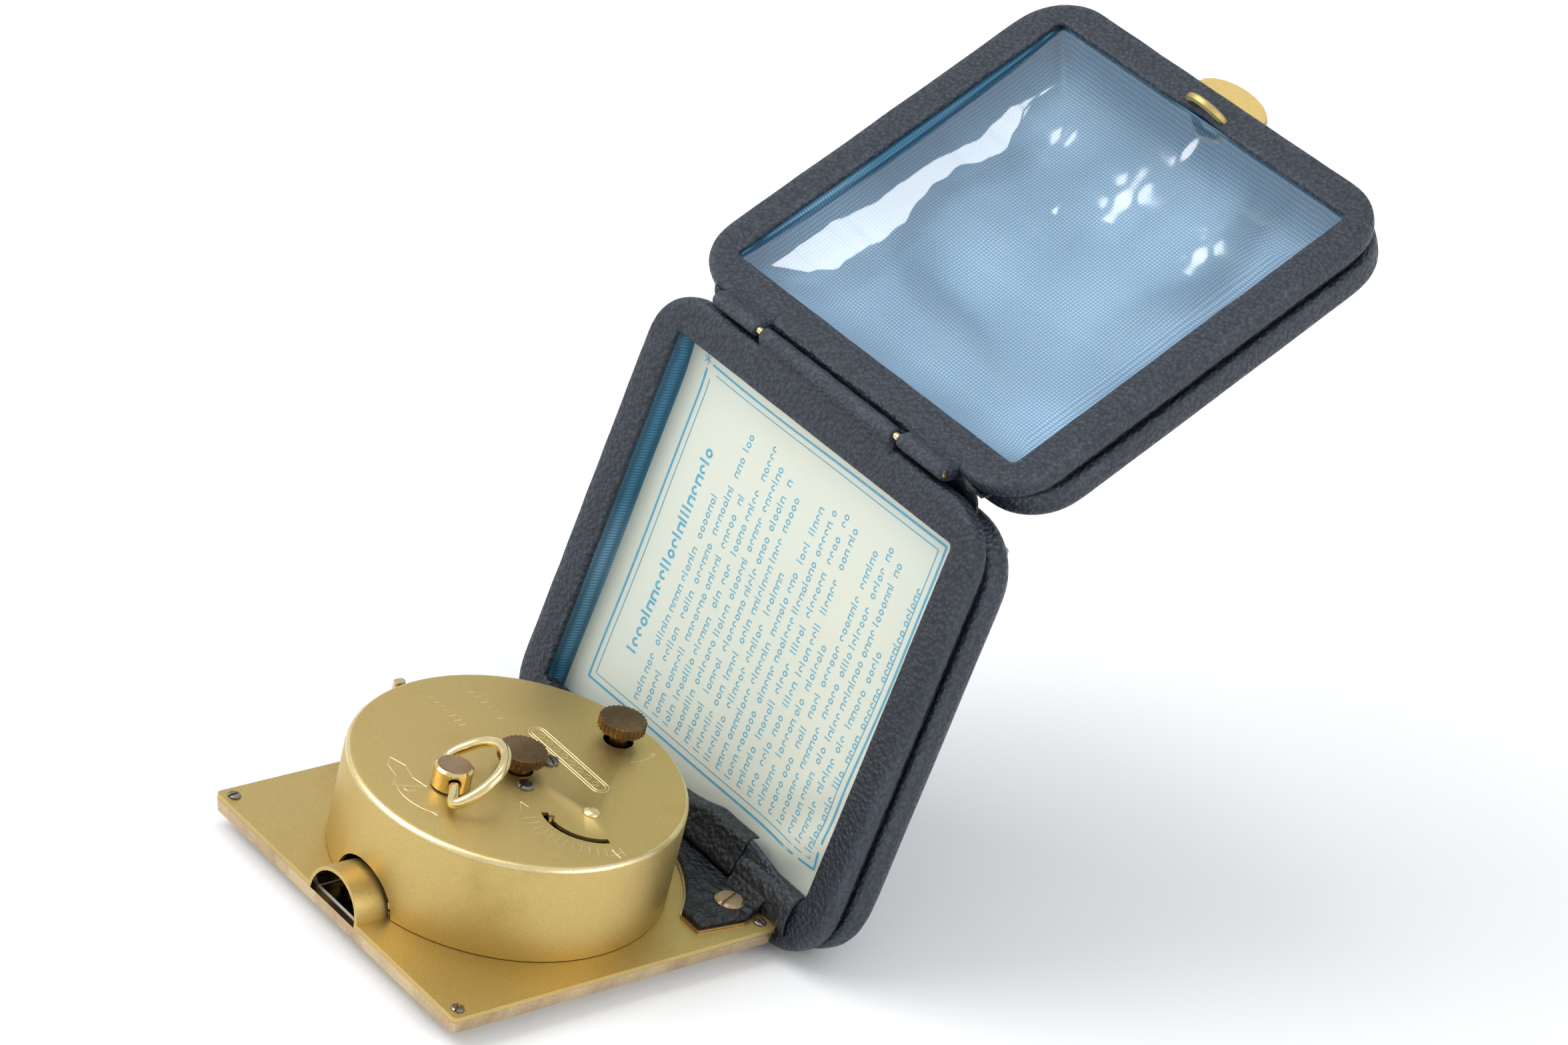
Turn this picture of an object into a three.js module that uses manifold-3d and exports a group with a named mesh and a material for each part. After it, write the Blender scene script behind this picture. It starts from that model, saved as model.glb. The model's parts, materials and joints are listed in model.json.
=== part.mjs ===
// Folding travel alarm clock: a square brass clock hinged to the rear cover of a leather case,
// with a hinged lid. Millimetres, +Z up. The clock lies dial down on its crystal, with the origin
// at the middle of the crystal's outer face. The rear cover stands up from the clock's +X edge and
// the lid is folded back from the top of the rear cover.
import * as THREE from 'three';
import { mergeVertices } from 'three/addons/utils/BufferGeometryUtils.js';
import Module from 'manifold-3d';

const wasm = await Module();
wasm.setup();

// Clock
const PLATE_SIDE = 62;
const CRYSTAL_PROUD = 2.45;
const BEZEL_DEPTH = 3;
const PLATE_Z = CRYSTAL_PROUD + BEZEL_DEPTH;
const PLATE_THICK = 0.8;
const PLATE_HOLE_R = 22;
const CRYSTAL_SIDE = 57;
const CRYSTAL_WALL = 1.2;
const DIAL_SIDE = 59;
const DIAL_Z = PLATE_Z - 1.3;
const DIAL_THICK = 0.2;
const SHEET = 0.6;
const DRUM_R = 26.4;
const DRUM_HEIGHT = 16.7;
const DRUM_TOP = PLATE_Z + DRUM_HEIGHT;
const TUNNEL_R = 6.2;
const TUNNEL_LENGTH = 5.8;

// Plan positions of the arbors, [x, y] from the middle of the clock
const CENTRE_AT = [0, 0];
const KEY_AT = [-13, 0];
const ALARM_SET_AT = [20, 0.8];
const THIRD_AT = [8, 9];
const FOURTH_AT = [11.6, -2.2];
const ESCAPE_AT = [11.5, -10];
const BALANCE_AT = [3.4, -13.8];
const PALLET_AT = [6.97, -12.1];
const MINUTE_WHEEL_AT = [0, 5];
const HAMMER_AT = [-7, 17.5];
const STOP_LEVER_AT = [-2.2, 18.6];
const COVER_SCREWS_AT = [[5.8, -0.3], [-2, -4.3]];
const PILLAR_ANGLES = [75, 130, 225, 320];
const PILLAR_RADIUS_AT = 22.3;

// Movement levels above the back plate
const FRONT_PLATE = [0.15, 1.15];
const REAR_PLATE = [11.2, 12.2];
const PIVOT_R = 0.4;
const PIVOT_CLEAR = 0.1;

// Case panels: X runs along the panel away from hinge 1 (or 2), Z is the panel's inner side
const HINGE1_RISE = 1.9;
const HINGE1_OUT = 0.65;
const REAR_ANGLE = 80.08;
const LID_ANGLE = 50.7;
const HINGE2_AT = 75.3;
const FACE_DROP = 0.4;
const PANEL_HALF_WIDTH = 39;
const PANEL_CORNER_R = 9.5;
const WINDOW_HALF_WIDTH = 33;
const WINDOW_CORNER_R = 3;
const REAR_BOTTOM = -5.8;
const REAR_BAR_TOP = 5.8;
const REAR_BAR_END = 3.2;
const REAR_BAR_HALF = 19;
const REAR_WINDOW_TOP = 66.4;
const LID_WINDOW = [8.4, 75.4];
const LID_FAR = 81.1;
const FRAME_THICK = 3.5;
const GROOVE = 1.2;
const SHELL_RIM = 4.3;
const SHELL_WALL = 1.2;
const SHELL_SETBACK = 5.2;
const FRAME_SETBACK = 2.3;
const REAR_DEPTH = 21.6;
const LID_DEPTH = 13.4;
const KNUCKLE1_R = 1.1;
const KNUCKLE1_HALF = 13.7;
const KNUCKLE2_R = 1.6;
const KNUCKLE2_HALF = 16.2;
const KNUCKLE_END = 27.5;
const GAP = 0.3;

const DEG = Math.PI / 180;
const ROUND = 24;

// Materials
const finish = (color, roughness, metalness, extra = {}) =>
  new THREE.MeshStandardMaterial({ color, roughness, metalness, ...extra });
const GOLD = finish('#c9a94a', 0.45, 0.9);
const BRASS = finish('#b08d3e', 0.3, 0.95);
const AGED_BRASS = finish('#7d6a3c', 0.4, 0.9);
const STEEL = finish('#8d9096', 0.3, 0.95);
const LEATHER = finish('#2c3848', 0.6, 0);
const SATIN = finish('#7fb0d0', 0.5, 0);
const PAPER = finish('#dfe3d4', 0.8, 0);
const DIAL_FACE = finish('#e9e4d3', 0.5, 0.1);
const CLEAR = finish('#eef3f5', 0.1, 0, { transparent: true, opacity: 0.35 });

// Solids
function toSolid(geometry) {
  const bare = geometry.clone();
  bare.deleteAttribute('normal');
  bare.deleteAttribute('uv');
  const merged = mergeVertices(bare, 1e-4);
  const index = merged.index.array;
  const kept = [];
  for (let i = 0; i < index.length; i += 3) {
    const [a, b, c] = index.slice(i, i + 3);
    if (a !== b && b !== c && c !== a) kept.push(a, b, c);
  }
  const mesh = new wasm.Mesh({
    numProp: 3,
    vertProperties: new Float32Array(merged.attributes.position.array),
    triVerts: new Uint32Array(kept),
  });
  return new wasm.Manifold(mesh);
}

function toGeometry(solid) {
  const mesh = solid.getMesh();
  const geometry = new THREE.BufferGeometry();
  geometry.setAttribute('position', new THREE.BufferAttribute(new Float32Array(mesh.vertProperties), 3));
  geometry.setIndex(new THREE.BufferAttribute(new Uint32Array(mesh.triVerts), 1));
  geometry.computeVertexNormals();
  return geometry;
}

const join = (first, ...rest) =>
  toGeometry(rest.reduce((all, one) => all.add(toSolid(one)), toSolid(first)));
const cut = (first, ...tools) =>
  toGeometry(tools.reduce((left, tool) => left.subtract(toSolid(tool)), toSolid(first)));

function add(group, name, geometry, material) {
  const mesh = new THREE.Mesh(toGeometry(toSolid(geometry)), material);
  mesh.name = name;
  group.add(mesh);
  return mesh;
}

// A flat outline raised from low to high
function slab(shape, low, high, curveSegments = 3) {
  const options = { depth: high - low, bevelEnabled: false, curveSegments };
  const geometry = new THREE.ExtrudeGeometry(shape, options);
  return geometry.translate(0, 0, low);
}

function block(x0, x1, y0, y1, z0, z1) {
  const box = new THREE.BoxGeometry(x1 - x0, y1 - y0, z1 - z0);
  return box.translate((x0 + x1) / 2, (y0 + y1) / 2, (z0 + z1) / 2);
}

// A solid of revolution about a vertical line through [x, y]; profile is [radius, z] pairs
function turned([x, y], profile, segments = ROUND) {
  const points = profile.map(([r, z]) => new THREE.Vector2(r, z));
  const geometry = new THREE.LatheGeometry(points, segments);
  return geometry.rotateX(Math.PI / 2).translate(x, y, 0);
}

const rod = (at, radius, low, high, segments = 14) =>
  turned(at, [[0, low], [radius, low], [radius, high], [0, high]], segments);

// A rod along Y through [x, z]
const rodY = (x, z, radius, y0, y1, segments = 16) =>
  rod([0, 0], radius, y0, y1, segments).rotateX(-Math.PI / 2).translate(x, 0, z);

function roundedRect(x0, x1, y0, y1, r) {
  const shape = new THREE.Shape();
  shape.absarc(x1 - r, y1 - r, r, 0, Math.PI / 2, false);
  shape.absarc(x0 + r, y1 - r, r, Math.PI / 2, Math.PI, false);
  shape.absarc(x0 + r, y0 + r, r, Math.PI, 1.5 * Math.PI, false);
  shape.absarc(x1 - r, y0 + r, r, 1.5 * Math.PI, 2 * Math.PI, false);
  shape.closePath();
  return shape;
}

const square = (side, r) => roundedRect(-side / 2, side / 2, -side / 2, side / 2, r);

// A round outline with a corner every few degrees
function disc(radius, [x, y] = [0, 0], corners = radius > 8 ? 36 : 10) {
  const shape = new THREE.Shape();
  for (let i = 0; i < corners; i += 1) {
    const angle = i * 2 * Math.PI / corners;
    const point = [x + radius * Math.cos(angle), y + radius * Math.sin(angle)];
    if (i) shape.lineTo(...point);
    else shape.moveTo(...point);
  }
  shape.closePath();
  return shape;
}

function withHoles(shape, ...holes) {
  shape.holes.push(...holes);
  return shape;
}

// Pointed straight-sided teeth; one tooth is centred on the phase angle
function gear(at, teeth, pitchRadius, phase, low, high, bore = 0) {
  const toothSize = 2 * pitchRadius / teeth;
  const tip = pitchRadius + 0.45 * toothSize;
  const root = pitchRadius - 0.75 * toothSize;
  const pitch = 2 * Math.PI / teeth;
  const shape = new THREE.Shape();
  for (let i = 0; i < teeth; i += 1) {
    for (const [radius, offset] of [[root, -0.5], [tip, 0]]) {
      const angle = phase * DEG + (i + offset) * pitch;
      const point = [radius * Math.cos(angle), radius * Math.sin(angle)];
      if (i || offset === 0) shape.lineTo(...point);
      else shape.moveTo(...point);
    }
  }
  shape.closePath();
  if (bore) shape.holes.push(disc(bore));
  return slab(shape, low, high).translate(at[0], at[1], 0);
}

const towards = (from, to) => Math.atan2(to[1] - from[1], to[0] - from[0]) / DEG;
const between = (from, to) => Math.hypot(to[0] - from[0], to[1] - from[1]);
const up = (z) => PLATE_Z + z;

// A ring of sections, each a rounded rectangle at its own level, closed by a flat cap at each end
function loft(sections, perCorner = 5) {
  const positions = [];
  const index = [];
  const rings = sections.map(({ x, y, r, z }) => {
    const start = positions.length / 3;
    const corners = [[x[1] - r, y - r, 0], [x[0] + r, y - r, 90], [x[0] + r, -y + r, 180],
      [x[1] - r, -y + r, 270]];
    for (const [cx, cy, from] of corners) {
      for (let i = 0; i <= perCorner; i += 1) {
        const angle = (from + 90 * i / perCorner) * DEG;
        positions.push(cx + r * Math.cos(angle), cy + r * Math.sin(angle), z);
      }
    }
    return start;
  });
  const count = 4 * (perCorner + 1);
  for (let s = 0; s + 1 < rings.length; s += 1) {
    for (let i = 0; i < count; i += 1) {
      const j = (i + 1) % count;
      const [here, next] = [rings[s], rings[s + 1]];
      index.push(here + i, here + j, next + j, here + i, next + j, next + i);
    }
  }
  for (let i = 1; i + 1 < count; i += 1) {
    index.push(rings[0], rings[0] + i + 1, rings[0] + i);
    index.push(rings.at(-1), rings.at(-1) + i, rings.at(-1) + i + 1);
  }
  const geometry = new THREE.BufferGeometry();
  geometry.setAttribute('position', new THREE.Float32BufferAttribute(positions, 3));
  geometry.setIndex(index);
  return geometry;
}

// A closed tube along a curve
function tube(curve, radius, steps, sides = 8) {
  return new THREE.ExtrudeGeometry(disc(radius, [0, 0], sides), {
    extrudePath: curve, steps, bevelEnabled: false,
  });
}

const slottedHead = (at, radius, low, high, shank, depth, slotWidth, turn) => {
  const screw = turned(at, [[0, low - depth], [shank, low - depth], [shank, low], [radius, low],
    [radius, low + (high - low) * 0.6], [radius * 0.8, high], [0, high]], 16);
  const slot = block(-radius - 1, radius + 1, -slotWidth / 2, slotWidth / 2, high - 0.35, high + 1);
  return cut(screw, slot.rotateZ(turn * DEG).translate(at[0], at[1], 0));
};

const part = new THREE.Group();
const clock = new THREE.Group();
part.add(clock);

// Back plate with the half-round tunnel formed up at the middle of its free edge
function backPlate() {
  const edge = -PLATE_SIDE / 2;
  const corner = PLATE_SIDE / 2 - 2;
  const holes = [disc(PLATE_HOLE_R)];
  for (const x of [-corner, corner]) {
    for (const y of [-corner, corner]) holes.push(disc(0.75, [x, y]));
  }
  for (const side of [-1, 1]) holes.push(disc(0.95, [TAB_SCREW_AT[0], side * TAB_SCREW_AT[1]]));
  const plate = slab(withHoles(square(PLATE_SIDE, 0.8), ...holes), PLATE_Z - PLATE_THICK, PLATE_Z);
  const along = (radius, x0, x1) =>
    rod([0, 0], radius, x0, x1, 36).rotateY(Math.PI / 2).translate(0, 0, PLATE_Z - PLATE_THICK);
  const below = block(edge - 1, edge + 9, -9, 9, PLATE_Z - 10, PLATE_Z - PLATE_THICK);
  const arch = cut(along(TUNNEL_R, edge, edge + TUNNEL_LENGTH), below);
  return cut(join(plate, arch), along(TUNNEL_R - SHEET, edge - 1, edge + TUNNEL_LENGTH + 1));
}
const TAB_SCREW_AT = [26.7, 23.9];
add(clock, 'back_plate', backPlate(), GOLD);

// Bezel: a square frame that slopes in towards the crystal, with a rebate for crystal and dial
function bezelFrame() {
  const half = PLATE_SIDE / 2;
  const top = PLATE_Z - PLATE_THICK - 0.05;
  const section = (inset, z) => ({ x: [-half + inset, half - inset], y: half - inset, r: 0.8, z });
  const body = loft([section(0.35, CRYSTAL_PROUD), section(0, top)]);
  const rebate = slab(square(DIAL_SIDE + 0.6, 1.5), CRYSTAL_PROUD + 0.7, top + 1);
  const opening = slab(square(CRYSTAL_SIDE + 0.6, 2.3), CRYSTAL_PROUD - 1, top + 1);
  const corner = half - 2;
  const sockets = [];
  for (const x of [-corner, corner]) {
    for (const y of [-corner, corner]) sockets.push(rod([x, y], 0.6, top - 1.1, top + 1, 12));
  }
  return cut(body, rebate, opening, ...sockets);
}
add(clock, 'bezel_frame', bezelFrame(), BRASS);

// Crystal: a shallow square cup, standing proud of the bezel, held by a flange in the rebate
function crystal() {
  const half = CRYSTAL_SIDE / 2;
  const flangeZ = CRYSTAL_PROUD + 0.85;
  const rim = DIAL_Z - 0.15;
  const at = (inset, z, r) => ({ x: [-half + inset, half - inset], y: half - inset, r, z });
  const outer = [at(1.6, 0, 2), at(0.45, 0.45, 2.4), at(0, 1.5, 2.4), at(0, flangeZ, 2.4),
    at(-0.9, flangeZ, 2.4), at(-0.9, rim, 2.4)];
  const inner = [at(CRYSTAL_WALL + 0.8, CRYSTAL_WALL, 1.4), at(CRYSTAL_WALL, 2, 1.4),
    at(CRYSTAL_WALL, rim, 1.4)];
  return loft([...outer, ...inner.slice().reverse()]);
}
add(clock, 'crystal', crystal(), CLEAR);

// Dial with a hole for the pipes
const dialShape = withHoles(square(DIAL_SIDE, 1.5), disc(1.8));
add(clock, 'dial', slab(dialShape, DIAL_Z, DIAL_Z + DIAL_THICK), DIAL_FACE);

// Movement cover: a drawn round can with its holes, the regulator slot and the tunnel cut-out
const REGULATOR_R = 7.4;
const REGULATOR_SLOT = [158, 254];
function arcSlot([x, y], radius, width, from, to) {
  const shape = new THREE.Shape();
  const [a, b] = [from * DEG, to * DEG];
  shape.absarc(x, y, radius + width / 2, a, b, false);
  shape.absarc(x, y, radius - width / 2, b, a, true);
  shape.closePath();
  return shape;
}
const STOP_SLOT = { low: 13.3, high: 14.7, halfWidth: 3.6 };
const BUMP_R = 1.3;
function movementCover() {
  const round = 1.1;
  const foot = up(0.1);
  const shoulder = [];
  for (let i = 0; i <= 4; i += 1) {
    const angle = i / 4 * Math.PI / 2;
    shoulder.push([DRUM_R - round + round * Math.cos(angle), DRUM_TOP - round + round * Math.sin(angle)]);
  }
  const ceiling = DRUM_TOP - SHEET;
  const shell = turned(CENTRE_AT, [[DRUM_R - SHEET, foot], [DRUM_R, foot], ...shoulder, [0, DRUM_TOP],
    [0, ceiling], [DRUM_R - round, ceiling], [DRUM_R - SHEET, DRUM_TOP - round], [DRUM_R - SHEET, foot]], 60);
  const dome = turned(BALANCE_AT, [[0, ceiling + 0.1], [BUMP_R, ceiling + 0.1], [BUMP_R, DRUM_TOP],
    [BUMP_R * 0.75, DRUM_TOP + 0.35], [BUMP_R * 0.4, DRUM_TOP + 0.5], [0, DRUM_TOP + 0.55]], 20);
  const hole = (at, radius) => rod(at, radius, ceiling - 1, DRUM_TOP + 1, 24);
  const slot = slab(arcSlot(BALANCE_AT, REGULATOR_R, 1.1, ...REGULATOR_SLOT), ceiling - 1, DRUM_TOP + 1, 5);
  const notch = rod([0, 0], TUNNEL_R + 0.9, -DRUM_R - 2, -DRUM_R + 3, 36)
    .rotateY(Math.PI / 2).translate(0, 0, PLATE_Z - PLATE_THICK);
  const leverSlot = block(STOP_LEVER_AT[0] - STOP_SLOT.halfWidth, STOP_LEVER_AT[0] + STOP_SLOT.halfWidth,
    DRUM_R - 3, DRUM_R + 2, up(STOP_SLOT.low), up(STOP_SLOT.high));
  return cut(join(shell, dome), hole(KEY_AT, 2), hole(CENTRE_AT, 2.3), hole(ALARM_SET_AT, 2.4),
    ...COVER_SCREWS_AT.map((at) => hole(at, 0.75)), slot, notch, leverSlot);
}
add(clock, 'movement_cover', movementCover(), GOLD);

// Screws
const corner = PLATE_SIDE / 2 - 2;
[[-corner, -corner], [corner, -corner], [corner, corner], [-corner, corner]].forEach((at, i) => {
  const screw = slottedHead(at, 1.05, PLATE_Z + 0.05, PLATE_Z + 0.4, 0.5, 1, 0.3, 35 + 50 * i);
  add(clock, `plate_screw_${i + 1}`, screw, STEEL);
});
COVER_SCREWS_AT.forEach((at, i) => {
  const screw = slottedHead(at, 1.35, DRUM_TOP + 0.05, DRUM_TOP + 0.6, 0.6, 1.7, 0.35, 75 - 60 * i);
  add(clock, `cover_screw_${i + 1}`, screw, STEEL);
});

// Plates of the movement, with a pivot hole for every arbor
function movementPlate(radius, [low, high], holes, cuts = []) {
  const shape = withHoles(disc(radius), ...holes.map(([at, r]) => disc(r, at)));
  const plate = slab(shape, up(low), up(high));
  return cuts.length ? cut(plate, ...cuts) : plate;
}
const pivot = (at) => [at, PIVOT_R + PIVOT_CLEAR];
const polar = (radius, angle) => [radius * Math.cos(angle * DEG), radius * Math.sin(angle * DEG)];
const pillarsAt = PILLAR_ANGLES.map((angle) => polar(PILLAR_RADIUS_AT, angle));
const turningAt = [THIRD_AT, FOURTH_AT, ESCAPE_AT, BALANCE_AT, HAMMER_AT].map(pivot);
const frontHoles = [[CENTRE_AT, 1], [KEY_AT, 0.9], [ALARM_SET_AT, 0.8], pivot(PALLET_AT), ...turningAt,
  ...pillarsAt.map((at) => [at, 0.6])];
const minuteStud = rod(MINUTE_WHEEL_AT, 0.4, up(-0.3), up(FRONT_PLATE[0] + 0.3), 12);
add(clock, 'front_movement_plate', join(movementPlate(24.5, FRONT_PLATE, frontHoles), minuteStud), BRASS);
const rearHoles = [[CENTRE_AT, 0.8], [KEY_AT, 1.4], [ALARM_SET_AT, 0.8], ...turningAt,
  [STOP_LEVER_AT, 0.6], ...pillarsAt.map((at) => [at, 0.6])];
const coverPosts = COVER_SCREWS_AT.map((at) => {
  const post = rod(at, 1.2, up(REAR_PLATE[1] - 0.3), DRUM_TOP - SHEET - 0.1, 16);
  return cut(post, rod(at, 0.7, DRUM_TOP - 3.2, DRUM_TOP, 12));
});
add(clock, 'rear_movement_plate', join(movementPlate(24, REAR_PLATE, rearHoles), ...coverPosts), BRASS);
pillarsAt.forEach((at, i) => {
  const [low, high] = [up(FRONT_PLATE[1] + 0.05), up(REAR_PLATE[0] - 0.05)];
  const pillar = turned(at, [[0, low - 1], [0.5, low - 1], [0.5, low], [1.2, low], [1.2, high], [0.5, high],
    [0.5, high + 1], [0, high + 1]], 16);
  add(clock, `pillar_${i + 1}`, pillar, BRASS);
});

// An arbor between the plates, with a thinner pivot at each end
function arbor(at, radius, low = FRONT_PLATE[1] + 0.15, high = REAR_PLATE[0] - 0.15) {
  return turned(at, [[0, up(FRONT_PLATE[0] + 0.1)], [PIVOT_R, up(FRONT_PLATE[0] + 0.1)], [PIVOT_R, up(low)],
    [radius, up(low)], [radius, up(high)], [PIVOT_R, up(high)], [PIVOT_R, up(REAR_PLATE[1] - 0.1)],
    [0, up(REAR_PLATE[1] - 0.1)]], 16);
}

// A meshing pair: the wheel has a tooth on the line of centres and the pinion a gap
function mesh(wheelAt, wheelTeeth, pinionAt, pinionTeeth) {
  const distance = between(wheelAt, pinionAt);
  const pinionR = distance * pinionTeeth / (wheelTeeth + pinionTeeth);
  const phase = towards(wheelAt, pinionAt);
  return {
    wheel: (low, high, bore) => gear(wheelAt, wheelTeeth, distance - pinionR, phase, up(low), up(high), bore),
    pinion: (low, high, bore) =>
      gear(pinionAt, pinionTeeth, pinionR, phase + 180 + 180 / pinionTeeth, up(low), up(high), bore),
  };
}
const barrelMesh = mesh(KEY_AT, 60, CENTRE_AT, 10);
const centreMesh = mesh(CENTRE_AT, 48, THIRD_AT, 6);
const thirdMesh = mesh(THIRD_AT, 45, FOURTH_AT, 6);
const fourthMesh = mesh(FOURTH_AT, 42, ESCAPE_AT, 6);
const minuteMesh = mesh(MINUTE_WHEEL_AT, 30, CENTRE_AT, 10);
const hourMesh = mesh(CENTRE_AT, 32, MINUTE_WHEEL_AT, 8);
const alarmMesh = mesh(CENTRE_AT, 48, ALARM_SET_AT, 32);

// Mainspring barrel: a toothed drum, turning on the winding arbor
const barrelBody = turned(KEY_AT,
  [[1.5, up(3.2)], [10.2, up(3.2)], [10.2, up(9.7)], [1.5, up(9.7)], [1.5, up(3.2)]], 32);
add(clock, 'mainspring_barrel', join(barrelBody, barrelMesh.wheel(7.9, 8.9, 1.5)), BRASS);

// Winding arbor with its key post, ratchet wheel and click
const keyPostZ = [DRUM_TOP + 0.3, DRUM_TOP + 3.8];
const KEY_POST_R = 3;
const LOOP_AXIS_ANGLE = 58;
const LOOP_Z = DRUM_TOP + 2;
function windingArbor() {
  const low = up(FRONT_PLATE[0] + 0.1);
  const body = turned(KEY_AT, [[0, low], [0.75, low], [0.75, up(2.6)], [1.2, up(2.6)], [1.2, up(12.3)],
    [1, up(12.3)], [1, up(13.6)], [1.6, up(13.6)], [1.6, keyPostZ[0]], [KEY_POST_R, keyPostZ[0]],
    [KEY_POST_R, keyPostZ[1] - 0.4], [KEY_POST_R - 0.4, keyPostZ[1]],
    [0, keyPostZ[1]]], 32);
  const bore = rod([0, 0], 1.1, -KEY_POST_R - 1, KEY_POST_R + 1, 16).rotateX(Math.PI / 2)
    .rotateZ((LOOP_AXIS_ANGLE - 90) * DEG).translate(KEY_AT[0], KEY_AT[1], LOOP_Z);
  return cut(body, bore);
}
add(clock, 'winding_arbor', windingArbor(), BRASS);
add(clock, 'ratchet_wheel', gear(KEY_AT, 24, 4.4, 0, up(12.6), up(13.3), 1.15), STEEL);
function click() {
  const at = [-19.5, 3.4];
  const tip = [-17.3, 2];
  const shape = new THREE.Shape();
  shape.moveTo(tip[0], tip[1]);
  shape.lineTo(at[0] + 1, at[1] - 1);
  shape.absarc(at[0], at[1], 1.3, -45 * DEG, 200 * DEG, false);
  shape.closePath();
  return join(slab(shape, up(12.6), up(13.3)), rod(at, 0.5, up(12.3), up(13.9), 12));
}
add(clock, 'ratchet_click', click(), STEEL);

// Folding key loop: an oval wire whose turned-in ends sit in the post's cross hole
const LOOP_TILT = 38;
const LOOP_WIRE_R = 0.82;
const LOOP_SHIFT = 1.2;
function keyLoop() {
  const side = [[-1, 0], [-3.8, 0], [-5.2, -0.9], [-6.6, -0.4], [-6.9, 1.6], [-6.3, 5], [-4, 8], [0, 9.2]];
  const other = side.slice(0, -1).reverse().map(([a, b]) => [-a, b]);
  const points = [...side, ...other].map(([a, b]) => new THREE.Vector3(a + LOOP_SHIFT, b, 0));
  const wire = tube(new THREE.CatmullRomCurve3(points), LOOP_WIRE_R, 32);
  return wire.rotateX(LOOP_TILT * DEG).rotateZ((LOOP_AXIS_ANGLE + 180) * DEG)
    .translate(KEY_AT[0], KEY_AT[1], LOOP_Z);
}
add(clock, 'key_loop', keyLoop(), BRASS);

// Centre arbor with its wheel and pinions, and the hand-setting knob on its outer end
function centreWheel() {
  const core = turned(CENTRE_AT, [[0, 2.7], [0.5, 2.7], [0.5, up(-0.4)], [0.75, up(-0.4)], [0.75, up(1.3)],
    [0.9, up(1.3)], [0.9, up(11)], [0.6, up(11)], [0.6, DRUM_TOP + 1.2], [0, DRUM_TOP + 1.2]], 16);
  return join(core, centreMesh.wheel(1.7, 2.2), barrelMesh.pinion(7.5, 9.3), minuteMesh.pinion(-0.35, 0.05));
}
add(clock, 'centre_wheel', centreWheel(), BRASS);

function knob(at, radius, stem, boreR, low, headLow, high, ridges) {
  const shape = new THREE.Shape();
  for (let i = 0; i < ridges * 2; i += 1) {
    const angle = i * Math.PI / ridges;
    const r = i % 2 ? radius - 0.3 : radius;
    if (i) shape.lineTo(at[0] + r * Math.cos(angle), at[1] + r * Math.sin(angle));
    else shape.moveTo(at[0] + r, at[1]);
  }
  shape.closePath();
  const head = slab(shape, headLow, high);
  const body = join(head, rod(at, stem, low, headLow + 0.5, 20));
  return cut(body, rod(at, boreR, low - 1, headLow + 1, 14));
}
const handSetKnob = knob(CENTRE_AT, 3.85, 1.9, 0.7, DRUM_TOP - 0.4, DRUM_TOP + 1.9, DRUM_TOP + 3.6, 30);
add(clock, 'hand_set_knob', handSetKnob, AGED_BRASS);

// Motion work and hands under the dial
add(clock, 'minute_wheel', join(minuteMesh.wheel(-0.25, 0, 0.55), hourMesh.pinion(-0.6, -0.2, 0.55)), BRASS);
const hourPipe = turned(CENTRE_AT, [[0.65, DIAL_Z - 1.1], [1, DIAL_Z - 1.1], [1, up(-0.6)], [0.65, up(-0.6)],
  [0.65, DIAL_Z - 1.1]], 20);
add(clock, 'hour_wheel', join(hourPipe, hourMesh.wheel(-0.65, -0.45, 0.95)), BRASS);
const alarmPipe = turned(CENTRE_AT, [[1.15, DIAL_Z - 0.55], [1.5, DIAL_Z - 0.55], [1.5, up(-0.9)],
  [1.15, up(-0.9)], [1.15, DIAL_Z - 0.55]], 20);
add(clock, 'alarm_wheel', join(alarmPipe, alarmMesh.wheel(-1.05, -0.87, 1.4)), BRASS);

// A hand points at the angle given, seen from the back of the clock
function hand(length, width, tail, bore, low, high, angle) {
  const shape = new THREE.Shape();
  shape.moveTo(-tail, -width * 0.4);
  shape.lineTo(length * 0.7, -width / 2);
  shape.lineTo(length, 0);
  shape.lineTo(length * 0.7, width / 2);
  shape.lineTo(-tail, width * 0.4);
  shape.closePath();
  const blade = join(slab(shape, low, high), rod([0, 0], bore + 0.9, low, high, 20));
  return cut(blade, rod([0, 0], bore, low - 1, high + 1, 20)).rotateZ(angle * DEG);
}
const HAND_ANGLES = { minute: -60, hour: 55, alarm: 0 };
add(clock, 'alarm_hand', hand(13, 1, 2, 1.6, DIAL_Z - 0.5, DIAL_Z - 0.35, HAND_ANGLES.alarm), STEEL);
add(clock, 'hour_hand', hand(15, 2.4, 3, 1.1, DIAL_Z - 1.05, DIAL_Z - 0.85, HAND_ANGLES.hour), BRASS);
add(clock, 'minute_hand', hand(22.5, 2, 4, 0.6, DIAL_Z - 1.6, DIAL_Z - 1.4, HAND_ANGLES.minute), BRASS);

// Alarm-setting arbor from its dial-side wheel up to the outer knob
const alarmCore = turned(ALARM_SET_AT, [[0, up(-1.06)], [0.55, up(-1.06)], [0.55, DRUM_TOP + 1.2],
  [0, DRUM_TOP + 1.2]], 16);
add(clock, 'alarm_set_arbor', join(alarmCore, alarmMesh.pinion(-1.05, -0.87)), BRASS);
const alarmKnob = knob(ALARM_SET_AT, 3.8, 1.5, 0.65, DRUM_TOP - 0.4, DRUM_TOP + 2.2, DRUM_TOP + 4, 28);
add(clock, 'alarm_set_knob', alarmKnob, AGED_BRASS);

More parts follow.
